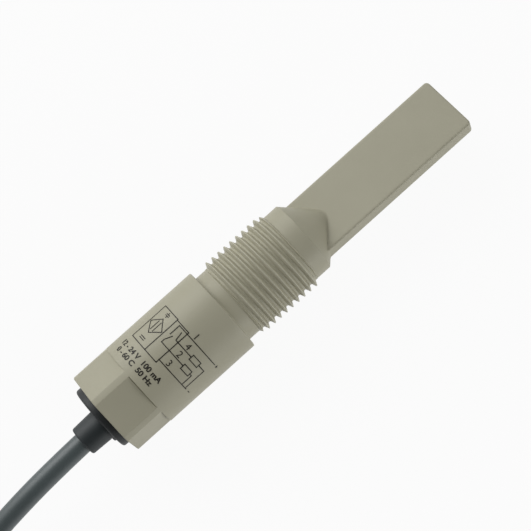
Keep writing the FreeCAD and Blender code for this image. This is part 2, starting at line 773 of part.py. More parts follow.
save("electrode_strip", make_electrode_strip())
save("sensing_electrode", make_foil(strip_end - FOIL_MARGIN - SENSING_LENGTH, SENSING_LENGTH))
guard_start = strip_end - FOIL_MARGIN - SENSING_LENGTH - FOIL_SPACE - GUARD_LENGTH
save("guard_electrode", make_foil(guard_start, GUARD_LENGTH))
leads = [tube(lead_points(side), LEAD_BEND_RADIUS, LEAD_DIAMETER) for side in (-1, 1)]
save("electrode_leads", Part.makeCompound(leads))
save("potting_plug", make_potting_plug())
for number, colour in enumerate(CORE_COLOURS):
    save(f"inner_core_{colour}", tube(inner_core_points(number), CORE_BEND_RADIUS, CORE_DIAMETER))
    save(f"tail_core_{colour}", cord(f"tail_core_{colour}", tail_core_points(number), CORE_DIAMETER))
save("core_ferrules", Part.makeCompound([make_ferrule(number) for number in range(len(CORE_COLOURS))]))
save("cable", make_cable())
save("cable_hank", make_cable_hank())
save("cable_tail", cord("cable_tail", [Vector(*point) for point in TAIL_ROUTE], CABLE_DIAMETER))
save("hank_ties", Part.makeCompound([make_tie(-1), make_tie(1)]))
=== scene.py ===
import bmesh
import bpy
import numpy as np
from mathutils import Matrix, Vector


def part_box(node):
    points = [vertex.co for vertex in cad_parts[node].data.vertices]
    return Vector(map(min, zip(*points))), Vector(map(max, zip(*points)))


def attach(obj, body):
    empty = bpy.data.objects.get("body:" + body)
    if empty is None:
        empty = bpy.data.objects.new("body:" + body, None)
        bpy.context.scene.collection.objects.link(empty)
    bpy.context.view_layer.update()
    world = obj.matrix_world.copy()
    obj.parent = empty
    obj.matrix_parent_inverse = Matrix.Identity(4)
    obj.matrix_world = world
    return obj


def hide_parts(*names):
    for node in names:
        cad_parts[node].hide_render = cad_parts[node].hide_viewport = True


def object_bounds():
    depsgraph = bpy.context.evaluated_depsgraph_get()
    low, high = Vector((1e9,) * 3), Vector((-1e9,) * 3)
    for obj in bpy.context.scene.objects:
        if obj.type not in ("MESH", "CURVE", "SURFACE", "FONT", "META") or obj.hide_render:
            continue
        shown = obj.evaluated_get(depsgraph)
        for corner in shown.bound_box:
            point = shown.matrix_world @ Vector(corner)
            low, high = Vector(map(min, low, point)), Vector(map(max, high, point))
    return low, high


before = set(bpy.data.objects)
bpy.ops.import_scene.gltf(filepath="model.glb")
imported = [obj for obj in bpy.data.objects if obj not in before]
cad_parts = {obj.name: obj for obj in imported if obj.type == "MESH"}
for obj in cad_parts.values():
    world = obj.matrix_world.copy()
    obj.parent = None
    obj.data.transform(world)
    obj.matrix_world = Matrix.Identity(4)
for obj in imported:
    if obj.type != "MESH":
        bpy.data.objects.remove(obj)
cad_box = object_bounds()

# Probe body: housing, spanner hexagon, process thread, cone and flat sensing blade in one moulding.
# It is beige-grey glass-filled polyester with the satin skin of the mould, bored from behind for the
# electronics and pocketed in the blade for the electrodes.
MM = 0.001
body_low, body_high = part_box("probe_body")
REAR_X = body_low.x / MM
TIP_X = body_high.x / MM
HOUSING_RADIUS = 11.0
HOUSING_LENGTH = 35.5
EDGE_ROUND = 0.25
HEX_APOTHEM = 9.9
HEX_LENGTH = 10.0
HEX_TURN = np.radians(90 + 13.2)
UNDERCUT = 0.15
SEAM = 0.02
NECK_RADIUS = 9.25
NECK_FILLET = 0.3
THREAD_START = -9.1
THREAD_END = 8.7
THREAD_MAJOR = 10.4775
THREAD_MINOR = 9.3155
THREAD_PITCH = 1.814
THREAD_CREST_X = -7.935
THREAD_CREST_ROUND = 0.15
THREAD_ROOT_ROUND = 0.2
THREAD_HALF_ANGLE = np.radians(25.0)
THREAD_RUN_OUT_SLOPE = 1.3
THREAD_SPARE_TURN = 0.5
THREAD_FOOT = 0.2
THREAD_STEP = 0.05
TAIL_RADIUS = 9.25
TAIL_END = 12.6
BLADE_HALF_WIDTH = 7.65
BLADE_HALF_THICKNESS = 2.0
BLADE_TURN = np.radians(-21.7)
BLADE_EDGE = 0.45
BLADE_TIP_ROUND = 1.0
CONE_FILLET = 0.35
CONE_SPARE = 0.6
BORE_RADIUS = 7.5
BORE_CHAMFER = 0.2
BORE_END = -13.2
CORE_BORE_RADIUS = 6.5
CORE_BORE_END = 9.6
POCKET_HALF_WIDTH = 6.0
POCKET_HALF_THICKNESS = 0.75
POCKET_END = TIP_X - 2.5
TINY = 1e-9

# Fineness of the grids, and how far the rows beside an edge stand from it to keep the shade even up to there
THREAD_ROWS_PER_TURN = 96
THREAD_COLUMNS = 41
EVEN_STEP_DEG = 2.25
NEAR_EDGE_DEG = 0.5
CORNER_FAN_DEG = 3.2
CORNER_FAN_COUNT = 11
ANGLE_DIGITS = 5
ARC_STEPS = 6
CONE_ROWS = 48
TIP_ROWS = 12
BLADE_ROWS = 14
HOUSING_ROWS = 10
BLADE_MARGIN = 0.5
TAIL_MARGIN = 1.5
SHOULDER_MARGIN = 2.0
UNDERCUT_MARGIN = 1.5 * UNDERCUT
HEX_FRONT_MARGIN = 0.6
HEX_REAR_MARGIN = 2.0
EDGE_MARGIN = 0.3

POLYESTER_DARK = "#A19E8A"
POLYESTER_LIGHT = "#A9A692"
# Painted light on the thread's teeth: the pale colour, its greatest share and the tooth height it grows over
POLYESTER_PAINTED_LIGHT = "#CFCCB8"
PAINTED_LIGHT_SHARE = 0.38
PAINTED_LIGHT_HEIGHT = 0.5
PATCH_OCTAVES = 3.0
GRAIN_OCTAVES = 4.0


def linear(hex_colour):
    """Linear RGBA of an sRGB hex colour: c / 12.92 up to 0.04045, ((c + 0.055) / 1.055) ** 2.4 above."""
    channels = np.array([int(hex_colour[i : i + 2], 16) for i in (1, 3, 5)]) / 255
    curve = np.where(channels <= 0.04045, channels / 12.92, ((channels + 0.055) / 1.055) ** 2.4)
    return (*curve, 1.0)


def add_node(tree, kind, settings, links):
    """Adds a node, sets its attributes, and gives each named input a value or the socket that feeds it."""
    node = tree.nodes.new("ShaderNode" + kind)
    for name, value in settings.items():
        setattr(node, name, value)
    for name, value in links.items():
        if isinstance(value, bpy.types.NodeSocket):
            tree.links.new(value, node.inputs[name])
        else:
            node.inputs[name].default_value = value
    return node


def mottled(
    name, dark, light, patch_mm, grain_mm, depth_mm, roughness, spread=0.08, stretch=(1, 1, 1), **sockets
):
    """Finish of a moulded, cast, drawn or rolled skin.

    Noise of one cycle per patch drifts the colour from dark to light, and noise of one cycle per grain lifts
    the skin by its depth and moves the roughness by its spread. The pattern is divided by the stretch along
    each axis, and other sockets are set as they are named.
    """
    material = bpy.data.materials.new(name)
    material.use_nodes = True
    tree = material.node_tree
    shader = tree.nodes["Principled BSDF"]
    for socket, value in sockets.items():
        shader.inputs[socket.replace("_", " ")].default_value = value
    place = add_node(tree, "TexCoord", {}, {}).outputs["Object"]
    shrink = [1 / factor for factor in stretch]
    place = add_node(tree, "Mapping", {}, {"Vector": place, "Scale": shrink}).outputs["Vector"]
    clouds = {"Vector": place, "Scale": 1 / (patch_mm * MM), "Detail": PATCH_OCTAVES}
    specks = {"Vector": place, "Scale": 1 / (grain_mm * MM), "Detail": GRAIN_OCTAVES}
    patch = add_node(tree, "TexNoise", {}, clouds).outputs["Fac"]
    grain = add_node(tree, "TexNoise", {}, specks).outputs["Fac"]
    shades = {"Factor": patch, 6: linear(dark), 7: linear(light)}
    colour = add_node(tree, "Mix", {"data_type": "RGBA"}, shades)
    limits = {"Value": grain, "To Min": roughness - spread, "To Max": roughness + spread}
    gloss = add_node(tree, "MapRange", {}, limits)
    bump = add_node(tree, "Bump", {}, {"Height": grain, "Distance": depth_mm * MM, "Strength": 1.0})
    tree.links.new(colour.outputs[2], shader.inputs["Base Color"])
    tree.links.new(gloss.outputs["Result"], shader.inputs["Roughness"])
    tree.links.new(bump.outputs["Normal"], shader.inputs["Normal"])
    return material


def closed_surface(points, ends):
    """Corners, quads and end fans of a closed surface over a grid of points, whose columns close round.

    Rows close on themselves for ends "ring", and each end row closes on its own middle for ends "poles". The
    enclosed volume is the sum of a . (b x c) / 6 over the triangles, and below 0 every face is turned round.
    """
    count, around = points.shape[:2]
    row = np.arange(count if ends == "ring" else count - 1)[:, None]
    column = np.arange(around)[None, :]
    next_row = (row + 1) % count
    next_column = (column + 1) % around
    corners = [row * around + column, row * around + next_column]
    corners += [next_row * around + next_column, next_row * around + column]
    quads = np.stack(corners, axis=-1).reshape(-1, 4)
    vertices = points.reshape(-1, 3)
    fans = np.zeros((0, 3), int)
    if ends == "poles":
        size = len(vertices)
        vertices = np.concatenate([vertices, points[:1].mean(axis=1), points[-1:].mean(axis=1)])
        first = np.arange(around)
        second = np.roll(first, -1)
        last = (count - 1) * around
        near = np.stack([np.full(around, size), second, first], axis=-1)
        far = np.stack([np.full(around, size + 1), first + last, second + last], axis=-1)
        fans = np.concatenate([near, far])
    triangles = np.concatenate([quads[:, [0, 1, 2]], quads[:, [0, 2, 3]], fans])
    a, b, c = (vertices[triangles[:, i]] for i in range(3))
    if np.einsum("ij,ij->", a, np.cross(b, c)) < 0:
        quads = quads[:, ::-1]
        fans = fans[:, ::-1]
    return vertices, quads, fans


def mesh_of(name, surfaces, sharp_deg=38.0):
    """Smooth mesh of one or more closed surfaces in mm, creased where faces meet at more than an angle."""
    corners = []
    faces = []
    count = 0
    for vertices, quads, fans in surfaces:
        corners.append(vertices)
        faces += (quads + count).tolist() + (fans + count).tolist()
        count += len(vertices)
    mesh = bpy.data.meshes.new(name)
    mesh.from_pydata((np.concatenate(corners) * MM).tolist(), [], faces)
    mesh.shade_smooth()
    mesh.set_sharp_from_angle(angle=np.radians(sharp_deg))
    return mesh


def dress(name, mesh, material, body, slot, *nodes):
    """Makes a mesh a piece with its material, which moves with the body and stands for the nodes."""
    piece = bpy.data.objects.new(name, mesh)
    bpy.context.scene.collection.objects.link(piece)
    mesh.materials.clear()
    mesh.materials.append(material)
    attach(piece, body)
    if nodes:
        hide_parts(*nodes)
    return piece


def rectangle_radius(turn, half_width, half_height, corner):
    """Distance from the middle of a round-cornered rectangle to its outline along each angle.

    A ray leaves by a short side at half_width / cos, by a long side at half_height / sin, or by a corner
    circle, at the far root of |t ray - corner centre| = corner radius.
    """
    along = np.abs(np.cos(turn))
    across = np.abs(np.sin(turn))
    centre_w = half_width - corner
    centre_h = half_height - corner
    to_side = half_width / np.maximum(along, TINY)
    to_face = half_height / np.maximum(across, TINY)
    reach = along * centre_w + across * centre_h
    to_corner = reach + np.sqrt(np.maximum(reach**2 - centre_w**2 - centre_h**2 + corner**2, 0))
    on_side = to_side * across <= centre_h
    on_face = to_face * along <= centre_w
    return np.where(on_side, to_side, np.where(on_face, to_face, to_corner))


def thread_tooth():
    """Rows of the right-handed thread: the section of its tooth, carried along a helix.

    Over an offset from the crest, the section's height follows a crest arc, a flank at the half angle to
    the radius that touches it, and a root arc that touches the flank. The crest's x grows by a pitch for
    each turn from +Y towards +Z. A ramp from each end of the thread cuts the first and last turns down, and
    the section's foot is sunk in the moulding.
    """
    slope = np.tan(THREAD_HALF_ANGLE)
    lift = 1 / np.sin(THREAD_HALF_ANGLE) - 1
    crest_end = THREAD_CREST_ROUND * np.cos(THREAD_HALF_ANGLE)
    apex = THREAD_MAJOR - THREAD_MINOR + THREAD_CREST_ROUND * lift
    foot = slope * (apex + THREAD_ROOT_ROUND * lift)
    flank_end = foot - THREAD_ROOT_ROUND * np.cos(THREAD_HALF_ANGLE)
    offset = np.linspace(-foot, foot, THREAD_COLUMNS)
    aside = np.abs(offset)
    from_foot = foot - np.maximum(aside, flank_end)
    crest_drop = THREAD_CREST_ROUND - np.sqrt(THREAD_CREST_ROUND**2 - np.minimum(aside, crest_end) ** 2)
    root_rise = THREAD_ROOT_ROUND - np.sqrt(THREAD_ROOT_ROUND**2 - from_foot**2)
    crest = THREAD_MAJOR - THREAD_MINOR - crest_drop
    form = np.where(aside < crest_end, crest, np.where(aside < flank_end, apex - aside / slope, root_rise))
    first = (THREAD_START - THREAD_CREST_X) / THREAD_PITCH - THREAD_SPARE_TURN
    last = (THREAD_END - THREAD_CREST_X) / THREAD_PITCH + THREAD_SPARE_TURN
    turns = np.linspace(first, last, int((last - first) * THREAD_ROWS_PER_TURN))[:, None]
    x = THREAD_CREST_X + THREAD_PITCH * turns + offset
    ramp = THREAD_RUN_OUT_SLOPE * np.minimum(x - THREAD_START, THREAD_END - x)
    height = np.maximum(np.minimum(form, ramp), -THREAD_FOOT / 2)
    x = np.concatenate([x[:, :1], x, x[:, -1:]], axis=1)
    radius = THREAD_MINOR + np.pad(height, ((0, 0), (1, 1)), constant_values=-THREAD_FOOT)
    turn = 2 * np.pi * turns
    return np.stack([x, radius * np.cos(turn), radius * np.sin(turn)], axis=-1)


def rows(x, radius):
    """Rows of the moulding: each x with its radius at every angle round the axis, from +Y towards +Z."""
    radius = np.broadcast_to(radius, (np.size(x), len(angle)))
    x = np.broadcast_to(np.reshape(x, (-1, 1)), radius.shape)
    return np.stack([x, radius * np.cos(angle), radius * np.sin(angle)], axis=-1)


# Angles of the grid: even ones, with more at the corners of the blade, of its pocket and of the hexagon
hex_half = np.arccos(HEX_APOTHEM / HOUSING_RADIUS)
hex_edges = HEX_TURN + np.pi / 3 * np.arange(6)[:, None] + np.array([-hex_half, hex_half])
close_by = np.radians([-NEAR_EDGE_DEG, 0.0, NEAR_EDGE_DEG])
blade_corner = np.arctan2(BLADE_HALF_THICKNESS - BLADE_EDGE / 2, BLADE_HALF_WIDTH)
pocket_corner = np.arctan2(POCKET_HALF_THICKNESS, POCKET_HALF_WIDTH)
corner_fan = np.radians(np.linspace(-CORNER_FAN_DEG, CORNER_FAN_DEG, CORNER_FAN_COUNT))
angle = np.concatenate([
    np.radians(np.arange(0, 360, EVEN_STEP_DEG)),
    (hex_edges.ravel()[:, None] + close_by).ravel(),
    *[BLADE_TURN + side + sign * blade_corner + corner_fan for side in (0, np.pi) for sign in (-1, 1)],
    *[BLADE_TURN + side + sign * pocket_corner + close_by for side in (0, np.pi) for sign in (-1, 1)],
])
angle = np.unique(np.round(angle % (2 * np.pi), ANGLE_DIGITS))
blade_angle = angle - BLADE_TURN

# The surface goes from the tip of the blade back along the outside, and in again through the bore to the
# pocket. The hexagon's top and bottom flats have a fine undercut at their front.
from_flat = (angle - HEX_TURN + np.pi / 6) % (np.pi / 3) - np.pi / 6
hexagon = np.minimum(HOUSING_RADIUS, HEX_APOTHEM / np.cos(from_flat))
on_top_or_bottom = np.abs(np.cos(angle - HEX_TURN)) > np.cos(np.pi / 6)
undercut = np.where(on_top_or_bottom, np.minimum(UNDERCUT, HOUSING_RADIUS - hexagon), 0)
shoulder = REAR_X + HOUSING_LENGTH
hex_front = REAR_X + HEX_LENGTH
quarter = np.linspace(0, np.pi / 2, ARC_STEPS)[:, None]
edge_inset = EDGE_ROUND * (1 - np.sin(quarter))
edge_along = EDGE_ROUND * (1 - np.cos(quarter))
cone_end = TAIL_END + TAIL_RADIUS - BLADE_HALF_THICKNESS + CONE_SPARE
cone_x = np.linspace(TAIL_END, cone_end, CONE_ROWS)[:, None]
blade_radius = rectangle_radius(blade_angle, BLADE_HALF_WIDTH, BLADE_HALF_THICKNESS, BLADE_EDGE)
cone_gap = np.abs(TAIL_RADIUS - (cone_x - TAIL_END) - blade_radius)
cone = np.maximum(TAIL_RADIUS - (cone_x - TAIL_END), blade_radius)
cone_start = np.clip((cone_x - TAIL_END) / CONE_FILLET, 0, 1)
cone = cone + cone_start * np.maximum(CONE_FILLET - cone_gap, 0) ** 2 / (4 * CONE_FILLET)
tip_turn = np.linspace(0, np.pi / 2, TIP_ROWS)[:, None]
tip_x = TIP_X - BLADE_TIP_ROUND * (1 - np.sin(tip_turn))
tip_width = BLADE_HALF_WIDTH - BLADE_TIP_ROUND * (1 - np.cos(tip_turn))
edge_reach = np.maximum(tip_x - TIP_X + BLADE_EDGE, 0)
tip_thickness = BLADE_HALF_THICKNESS - BLADE_EDGE + np.sqrt(BLADE_EDGE**2 - edge_reach**2)
tip_radius = rectangle_radius(blade_angle, tip_width, tip_thickness, BLADE_EDGE)
blade_x = np.linspace(cone_x[-1, 0] + BLADE_MARGIN, TIP_X - BLADE_TIP_ROUND - BLADE_MARGIN, BLADE_ROWS)
hex_x = [hex_front - UNDERCUT_MARGIN, hex_front - HEX_FRONT_MARGIN]
hex_x += [REAR_X + HEX_REAR_MARGIN, REAR_X + EDGE_ROUND + EDGE_MARGIN]
bore_mouth = np.array([[BORE_RADIUS + BORE_CHAMFER], [BORE_RADIUS], [BORE_RADIUS]])
pocket = rectangle_radius(blade_angle, POCKET_HALF_WIDTH, POCKET_HALF_THICKNESS, TINY)
body_grid = np.concatenate([
    rows(tip_x, tip_radius)[::-1],
    rows(blade_x, blade_radius)[::-1],
    rows(cone_x, cone)[::-1],
    rows([TAIL_END - SEAM, TAIL_END - TAIL_MARGIN, THREAD_END + THREAD_STEP], TAIL_RADIUS),
    rows([THREAD_END, THREAD_START], THREAD_MINOR),
    rows([THREAD_START - THREAD_STEP], NECK_RADIUS),
    rows(shoulder + NECK_FILLET * (1 - np.sin(quarter)), NECK_RADIUS + NECK_FILLET * (1 - np.cos(quarter))),
    rows(shoulder - edge_along, HOUSING_RADIUS - edge_inset),
    rows(np.linspace(shoulder - SHOULDER_MARGIN, hex_front, HOUSING_ROWS), HOUSING_RADIUS),
    rows([hex_front - SEAM, hex_front - UNDERCUT], hexagon - undercut),
    rows(hex_x, hexagon),
    rows(REAR_X + edge_along[::-1], hexagon - edge_inset[::-1]),
    rows([REAR_X, REAR_X + BORE_CHAMFER, BORE_END], bore_mouth),
    rows([BORE_END, CORE_BORE_END], CORE_BORE_RADIUS),
    rows([CORE_BORE_END, POCKET_END], pocket),
])

# Glass-filled polyester from a finely eroded mould: even and matt, with faint flow clouds and a grain that
# is drawn at 0.4 mm, coarser than the real one, so that it shows
moulded_polyester = mottled(
    "moulded_polyester", POLYESTER_DARK, POLYESTER_LIGHT,
    patch_mm=9.0, grain_mm=0.4, depth_mm=0.006, roughness=0.5, IOR=1.5, Specular_IOR_Level=0.4,
)
probe_surfaces = [closed_surface(body_grid, "poles"), closed_surface(thread_tooth(), "poles")]
probe_mesh = mesh_of("moulded_probe_body", probe_surfaces)

# Thin teeth let light through and look paler than the thick walls, and this light is painted into the
# colour: over the foot of each tooth the colour goes a share of the way to a pale one, as painted light
tooth_corners = probe_surfaces[1][0]
tooth_rise = np.hypot(tooth_corners[:, 1], tooth_corners[:, 2]) - THREAD_MINOR
painted_tooth_light = np.zeros(len(probe_mesh.vertices))
painted_tooth_light[-len(tooth_corners) :] = PAINTED_LIGHT_SHARE * np.clip(tooth_rise / PAINTED_LIGHT_HEIGHT, 0, 1)
probe_mesh.attributes.new("painted_tooth_light", "FLOAT", "POINT").data.foreach_set("value", painted_tooth_light)
tree = moulded_polyester.node_tree
shader = tree.nodes["Principled BSDF"]
painted_light_factor = add_node(tree, "Attribute", {"attribute_name": "painted_tooth_light"}, {}).outputs["Fac"]
moulded_colour = shader.inputs["Base Color"].links[0].from_socket
painted_light_mix = {"Factor": painted_light_factor, 6: moulded_colour, 7: linear(POLYESTER_PAINTED_LIGHT)}
tree.links.new(add_node(tree, "Mix", {"data_type": "RGBA"}, painted_light_mix).outputs[2], shader.inputs["Base Color"])
dress("moulded_probe_body", probe_mesh, moulded_polyester, "sensor", "body_plastic", "probe_body")

# Connection diagram: a thin film of black ink that a soft pad prints on the housing after moulding.
# It is drawn flat, in mm to the right of the housing's top line and mm forward of its rear face, and wrapped
# round. Its words are plain numbers and units.
INK_LIFT = 0.03
INK_THICKNESS = 0.02
STROKE = 0.22
STROKE_STEP = 0.4
LETTER_HEIGHT = 1.3
NUMBER_HEIGHT = 1.6
LETTER_WEIGHT = 0.03
NUMBER_WEIGHT = 0.0
SYMBOL_BOX = [(-10.27, 16.5), (-10.27, 26.4), (-4.68, 26.4), (-4.68, 16.5), (-10.27, 16.5)]
CONTACT_BOX = [(-4.68, 26.2), (-0.71, 26.2), (-0.71, 16.5), (-4.68, 16.5)]
SENSOR_SIGN = [(-7.43, 24.0), (-5.0, 21.8), (-7.43, 19.6), (-9.86, 21.8), (-7.43, 24.0)]
SENSOR_PLATES = [[(-7.85, 20.5), (-7.85, 23.1)], [(-6.95, 20.5), (-6.95, 23.1)]]
CAPACITOR_SIGN = [
    [(-7.85, 25.1), (-6.85, 25.1)],
    [(-7.85, 25.5), (-6.85, 25.5)],
    [(-7.35, 24.7), (-7.35, 25.1)],
    [(-7.35, 25.5), (-7.35, 25.9)],
]
DIRECT_CURRENT_SIGN = [
    [(-8.3, 18.1), (-6.7, 18.1)],
    [(-8.3, 17.6), (-7.95, 17.6)],
    [(-7.68, 17.6), (-7.32, 17.6)],
    [(-7.05, 17.6), (-6.7, 17.6)],
]
CONTACTS = [
    [(-3.34, 25.75), (-3.34, 23.0)],
    [(-3.34, 20.4), (-3.34, 21.2), (-2.61, 23.0)],
    [(-1.42, 23.0), (-1.79, 25.0)],
]
WIRES = [
    [(-3.34, 25.75), (9.41, 25.75)],
    [(-1.42, 23.0), (3.74, 23.0)],
    [(-3.34, 20.4), (3.96, 20.4)],
    [(-0.77, 17.4), (9.03, 17.4)],
    [(6.45, 23.0), (8.64, 23.0), (8.64, 17.4)],
    [(6.53, 20.28), (7.2, 20.28), (7.2, 17.4)],
]
LOADS = [
    [(3.74, 22.35), (6.45, 22.35), (6.45, 23.7), (3.74, 23.7), (3.74, 22.35)],
    [(3.96, 19.6), (6.53, 19.6), (6.53, 20.95), (3.96, 20.95), (3.96, 19.6)],
]
POLES = [
    [(10.05, 25.75), (10.55, 25.75)],
    [(10.3, 25.5), (10.3, 26.0)],
    [(10.05, 17.4), (10.55, 17.4)],
]
WIRE_NUMBERS = [("1", 1.0, 26.1), ("4", 1.0, 23.3), ("2", 1.0, 20.75), ("3", 1.0, 17.75)]
RATINGS = [("12 - 24 V  100 mA", -10.9, 13.65, 14.2), ("0 - 60 C  50 Hz", -10.4, 11.75, 12.7)]


def strokes(line):
    """Flat strips along a line's runs, each longer by half a stroke at both ends to fill the corners."""
    strips = []
    for start, end in zip(np.array(line[:-1]), np.array(line[1:])):
        length = np.linalg.norm(end - start)
        ahead = (end - start) / length
        left = np.array([-ahead[1], ahead[0]])
        steps = int(np.ceil(length / STROKE_STEP)) + 1
        reach = np.linspace(-STROKE / 2, length + STROKE / 2, steps)[:, None]
        middle = start + ahead * reach
        corners = np.concatenate([middle - left * STROKE / 2, middle + left * STROKE / 2])
        near = np.arange(steps - 1)
        faces = np.stack([near, near + 1, near + 1 + steps, near + steps], axis=-1)
        strips.append((corners, faces.tolist()))
    return strips


def lettering(words, left, base, height, weight, width=None):
    """Flat words whose capitals have the height, fattened by the weight, and set to a width if given."""
    font = bpy.data.curves.new("lettering", "FONT")
    font.body = words
    font.offset = weight
    holder = bpy.data.objects.new("lettering", font)
    flat = bpy.data.meshes.new_from_object(holder)
    corners = np.array([vertex.co[:2] for vertex in flat.vertices])
    tall = height / corners[:, 1].max()
    low = corners[:, 0].min()
    wide = tall if width is None else width / (corners[:, 0].max() - low)
    corners = np.stack([left + (corners[:, 0] - low) * wide, base + corners[:, 1] * tall], axis=-1)
    faces = [list(polygon.vertices) for polygon in flat.polygons]
    bpy.data.objects.remove(holder)
    bpy.data.meshes.remove(flat)
    return corners, faces


lines = [SYMBOL_BOX, CONTACT_BOX, SENSOR_SIGN]
lines += SENSOR_PLATES + CAPACITOR_SIGN + DIRECT_CURRENT_SIGN + CONTACTS + WIRES + LOADS + POLES
drawing = [strip for line in lines for strip in strokes(line)]
for number, left, base in WIRE_NUMBERS:
    drawing.append(lettering(number, left, base, NUMBER_HEIGHT, NUMBER_WEIGHT))
for words, left, base, width in RATINGS:
    drawing.append(lettering(words, left, base, LETTER_HEIGHT, LETTER_WEIGHT, width))
ink_faces = []
ink_count = 0
for corners, faces in drawing:
    ink_faces += [[ink_count + corner for corner in face] for face in faces]
    ink_count += len(corners)
flat_ink = np.concatenate([corners for corners, faces in drawing])
ink_turn = -flat_ink[:, 0] / HOUSING_RADIUS
ink_radius = HOUSING_RADIUS + INK_LIFT
ink_places = [REAR_X + flat_ink[:, 1], ink_radius * np.sin(ink_turn), ink_radius * np.cos(ink_turn)]
ink_mesh = bpy.data.meshes.new("printed_diagram")
ink_mesh.from_pydata((np.stack(ink_places, axis=-1) * MM).tolist(), [], ink_faces)

# Pad-printing ink: a thin, slightly uneven film, near black and half matt
printing_ink = mottled(
    "printing_ink", "#1E1C17", "#2B2922",
    patch_mm=1.5, grain_mm=0.3, depth_mm=0.004, roughness=0.55, Specular_IOR_Level=0.3,
)
printed_diagram = dress("printed_diagram", ink_mesh, printing_ink, "sensor", None)
film = printed_diagram.modifiers.new("film", "SOLIDIFY")
film.thickness = INK_THICKNESS * MM
film.offset = 1.0

# Electrode strip in the blade's pocket: a strip of green glass-fibre board with a sensing and a guard
# electrode of copper foil on both faces, and two tinned copper leads soldered to it that run back to the
# circuit board. The wave pattern of its weave repeats after WAVE_LENGTH at a scale of 1.
WEAVE_MM = 0.6
WEAVE_DEPTH = 0.02
WAVE_LENGTH = 2 * np.pi / 20


def coat(material, *nodes):
    """Gives nodes whose shape stays as it is their material."""
    for node in nodes:
        for material_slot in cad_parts[node].material_slots:
            material_slot.material = material


# Solder resist over woven glass: glossy green, with the weave's threads showing through as fine squares
board_laminate = mottled(
    "board_laminate", "#1B5634", "#256742", patch_mm=4.0, grain_mm=0.5, depth_mm=0.004, roughness=0.3
)
tree = board_laminate.node_tree
place = add_node(tree, "TexCoord", {}, {}).outputs["Object"]
weave_scale = {"Vector": place, "Scale": WAVE_LENGTH / (WEAVE_MM * MM)}
warp = add_node(tree, "TexWave", {"bands_direction": "X"}, weave_scale).outputs["Fac"]
weft = add_node(tree, "TexWave", {"bands_direction": "Y"}, weave_scale).outputs["Fac"]
crossing = add_node(tree, "Math", {"operation": "MAXIMUM"}, {0: warp, 1: weft}).outputs["Value"]
weave = {"Height": crossing, "Distance": WEAVE_DEPTH * MM, "Strength": 1.0}
threads = add_node(tree, "Bump", {}, weave)
tree.links.new(threads.outputs["Normal"], tree.nodes["Principled BSDF"].inputs["Normal"])
coat(board_laminate, "electrode_strip")

# Rolled copper foil: warm metal with fine rolling lines along the strip
copper_foil = mottled(
    "copper_foil", "#B06C45", "#C28058",
    patch_mm=3.0, grain_mm=0.25, depth_mm=0.003, roughness=0.32, stretch=(12, 1, 1), Metallic=1.0,
)
coat(copper_foil, "sensing_electrode", "guard_electrode")

# Tinned copper: pale grey metal, dipped, so its skin is bright and slightly uneven
tinned_copper = mottled(
    "tinned_copper", "#B2B1AB", "#C6C5BF",
    patch_mm=1.5, grain_mm=0.4, depth_mm=0.006, roughness=0.33, Metallic=1.0,
)
coat(tinned_copper, "electrode_leads")

# Potting plug: casting resin poured round the leads, which seals the blade from the electronics.
# Cast epoxy sets dark and glossy, with slow clouds of filler.
potting_resin = mottled(
    "potting_resin", "#19191C", "#29292D",
    patch_mm=3.5, grain_mm=0.8, depth_mm=0.006, roughness=0.22, IOR=1.55,
)
coat(potting_resin, "potting_plug")

# Shield sleeve: thin brass sheet rolled to a tube, which lines the bore round the circuit board.
# Rolled brass is yellow metal with fine lines along the direction of rolling.
rolled_brass = mottled(
    "rolled_brass", "#AE8C46", "#C2A25A",
    patch_mm=4.0, grain_mm=0.3, depth_mm=0.004, roughness=0.3, stretch=(10, 1, 1), Metallic=1.0,
)
coat(rolled_brass, "shield_sleeve")

# Circuit board and its components: a glass-fibre board held by the sleeve, with a moulded chip and
# transistors on top, and chip capacitors and resistors below, all soldered to it.
CAPACITOR_END = 0.35
TIN_END = "#BDBCB6"
coat(board_laminate, "circuit_board")

# Epoxy moulding compound: near black, matt from an eroded mould
chip_epoxy = mottled(
    "chip_epoxy", "#151517", "#212124", patch_mm=2.0, grain_mm=0.2, depth_mm=0.006, roughness=0.55
)
coat(chip_epoxy, "oscillator_chip", "switching_transistors", "chip_resistors")

# Fired ceramic with dipped tin ends: tan and half glossy in the middle, grey metal past each end band
fired_ceramic = mottled(
    "fired_ceramic", "#846A48", "#94795A", patch_mm=0.8, grain_mm=0.15, depth_mm=0.004, roughness=0.38
)
capacitor_low, capacitor_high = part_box("chip_capacitors")
tree = fired_ceramic.node_tree
shader = tree.nodes["Principled BSDF"]
place = add_node(tree, "TexCoord", {}, {}).outputs["Object"]
along = add_node(tree, "SeparateXYZ", {}, {"Vector": place}).outputs["X"]
middle_x = (capacitor_low.x + capacitor_high.x) / 2
from_middle = add_node(tree, "Math", {"operation": "SUBTRACT"}, {0: along, 1: middle_x}).outputs["Value"]
distance = add_node(tree, "Math", {"operation": "ABSOLUTE"}, {0: from_middle}).outputs["Value"]
past_band = {0: distance, 1: (capacitor_high.x - capacitor_low.x) / 2 - CAPACITOR_END * MM}
on_band = add_node(tree, "Math", {"operation": "GREATER_THAN"}, past_band).outputs["Value"]
ceramic_colour = shader.inputs["Base Color"].links[0].from_socket
banded = {"Factor": on_band, 6: ceramic_colour, 7: linear(TIN_END)}
tree.links.new(add_node(tree, "Mix", {"data_type": "RGBA"}, banded).outputs[2], shader.inputs["Base Color"])
tree.links.new(on_band, shader.inputs["Metallic"])
coat(fired_ceramic, "chip_capacitors")

# Trimmer case and status lamp: two small components under the board's rear end, a blue moulded case for the
# trimmer's rotor and a yellow lamp that faces the light pipe.
# Glass-filled nylon moulds blue and half glossy.
trimmer_nylon = mottled(
    "trimmer_nylon", "#1C4690", "#2755A4", patch_mm=1.5, grain_mm=0.2, depth_mm=0.004, roughness=0.35
)
coat(trimmer_nylon, "trimmer_case")

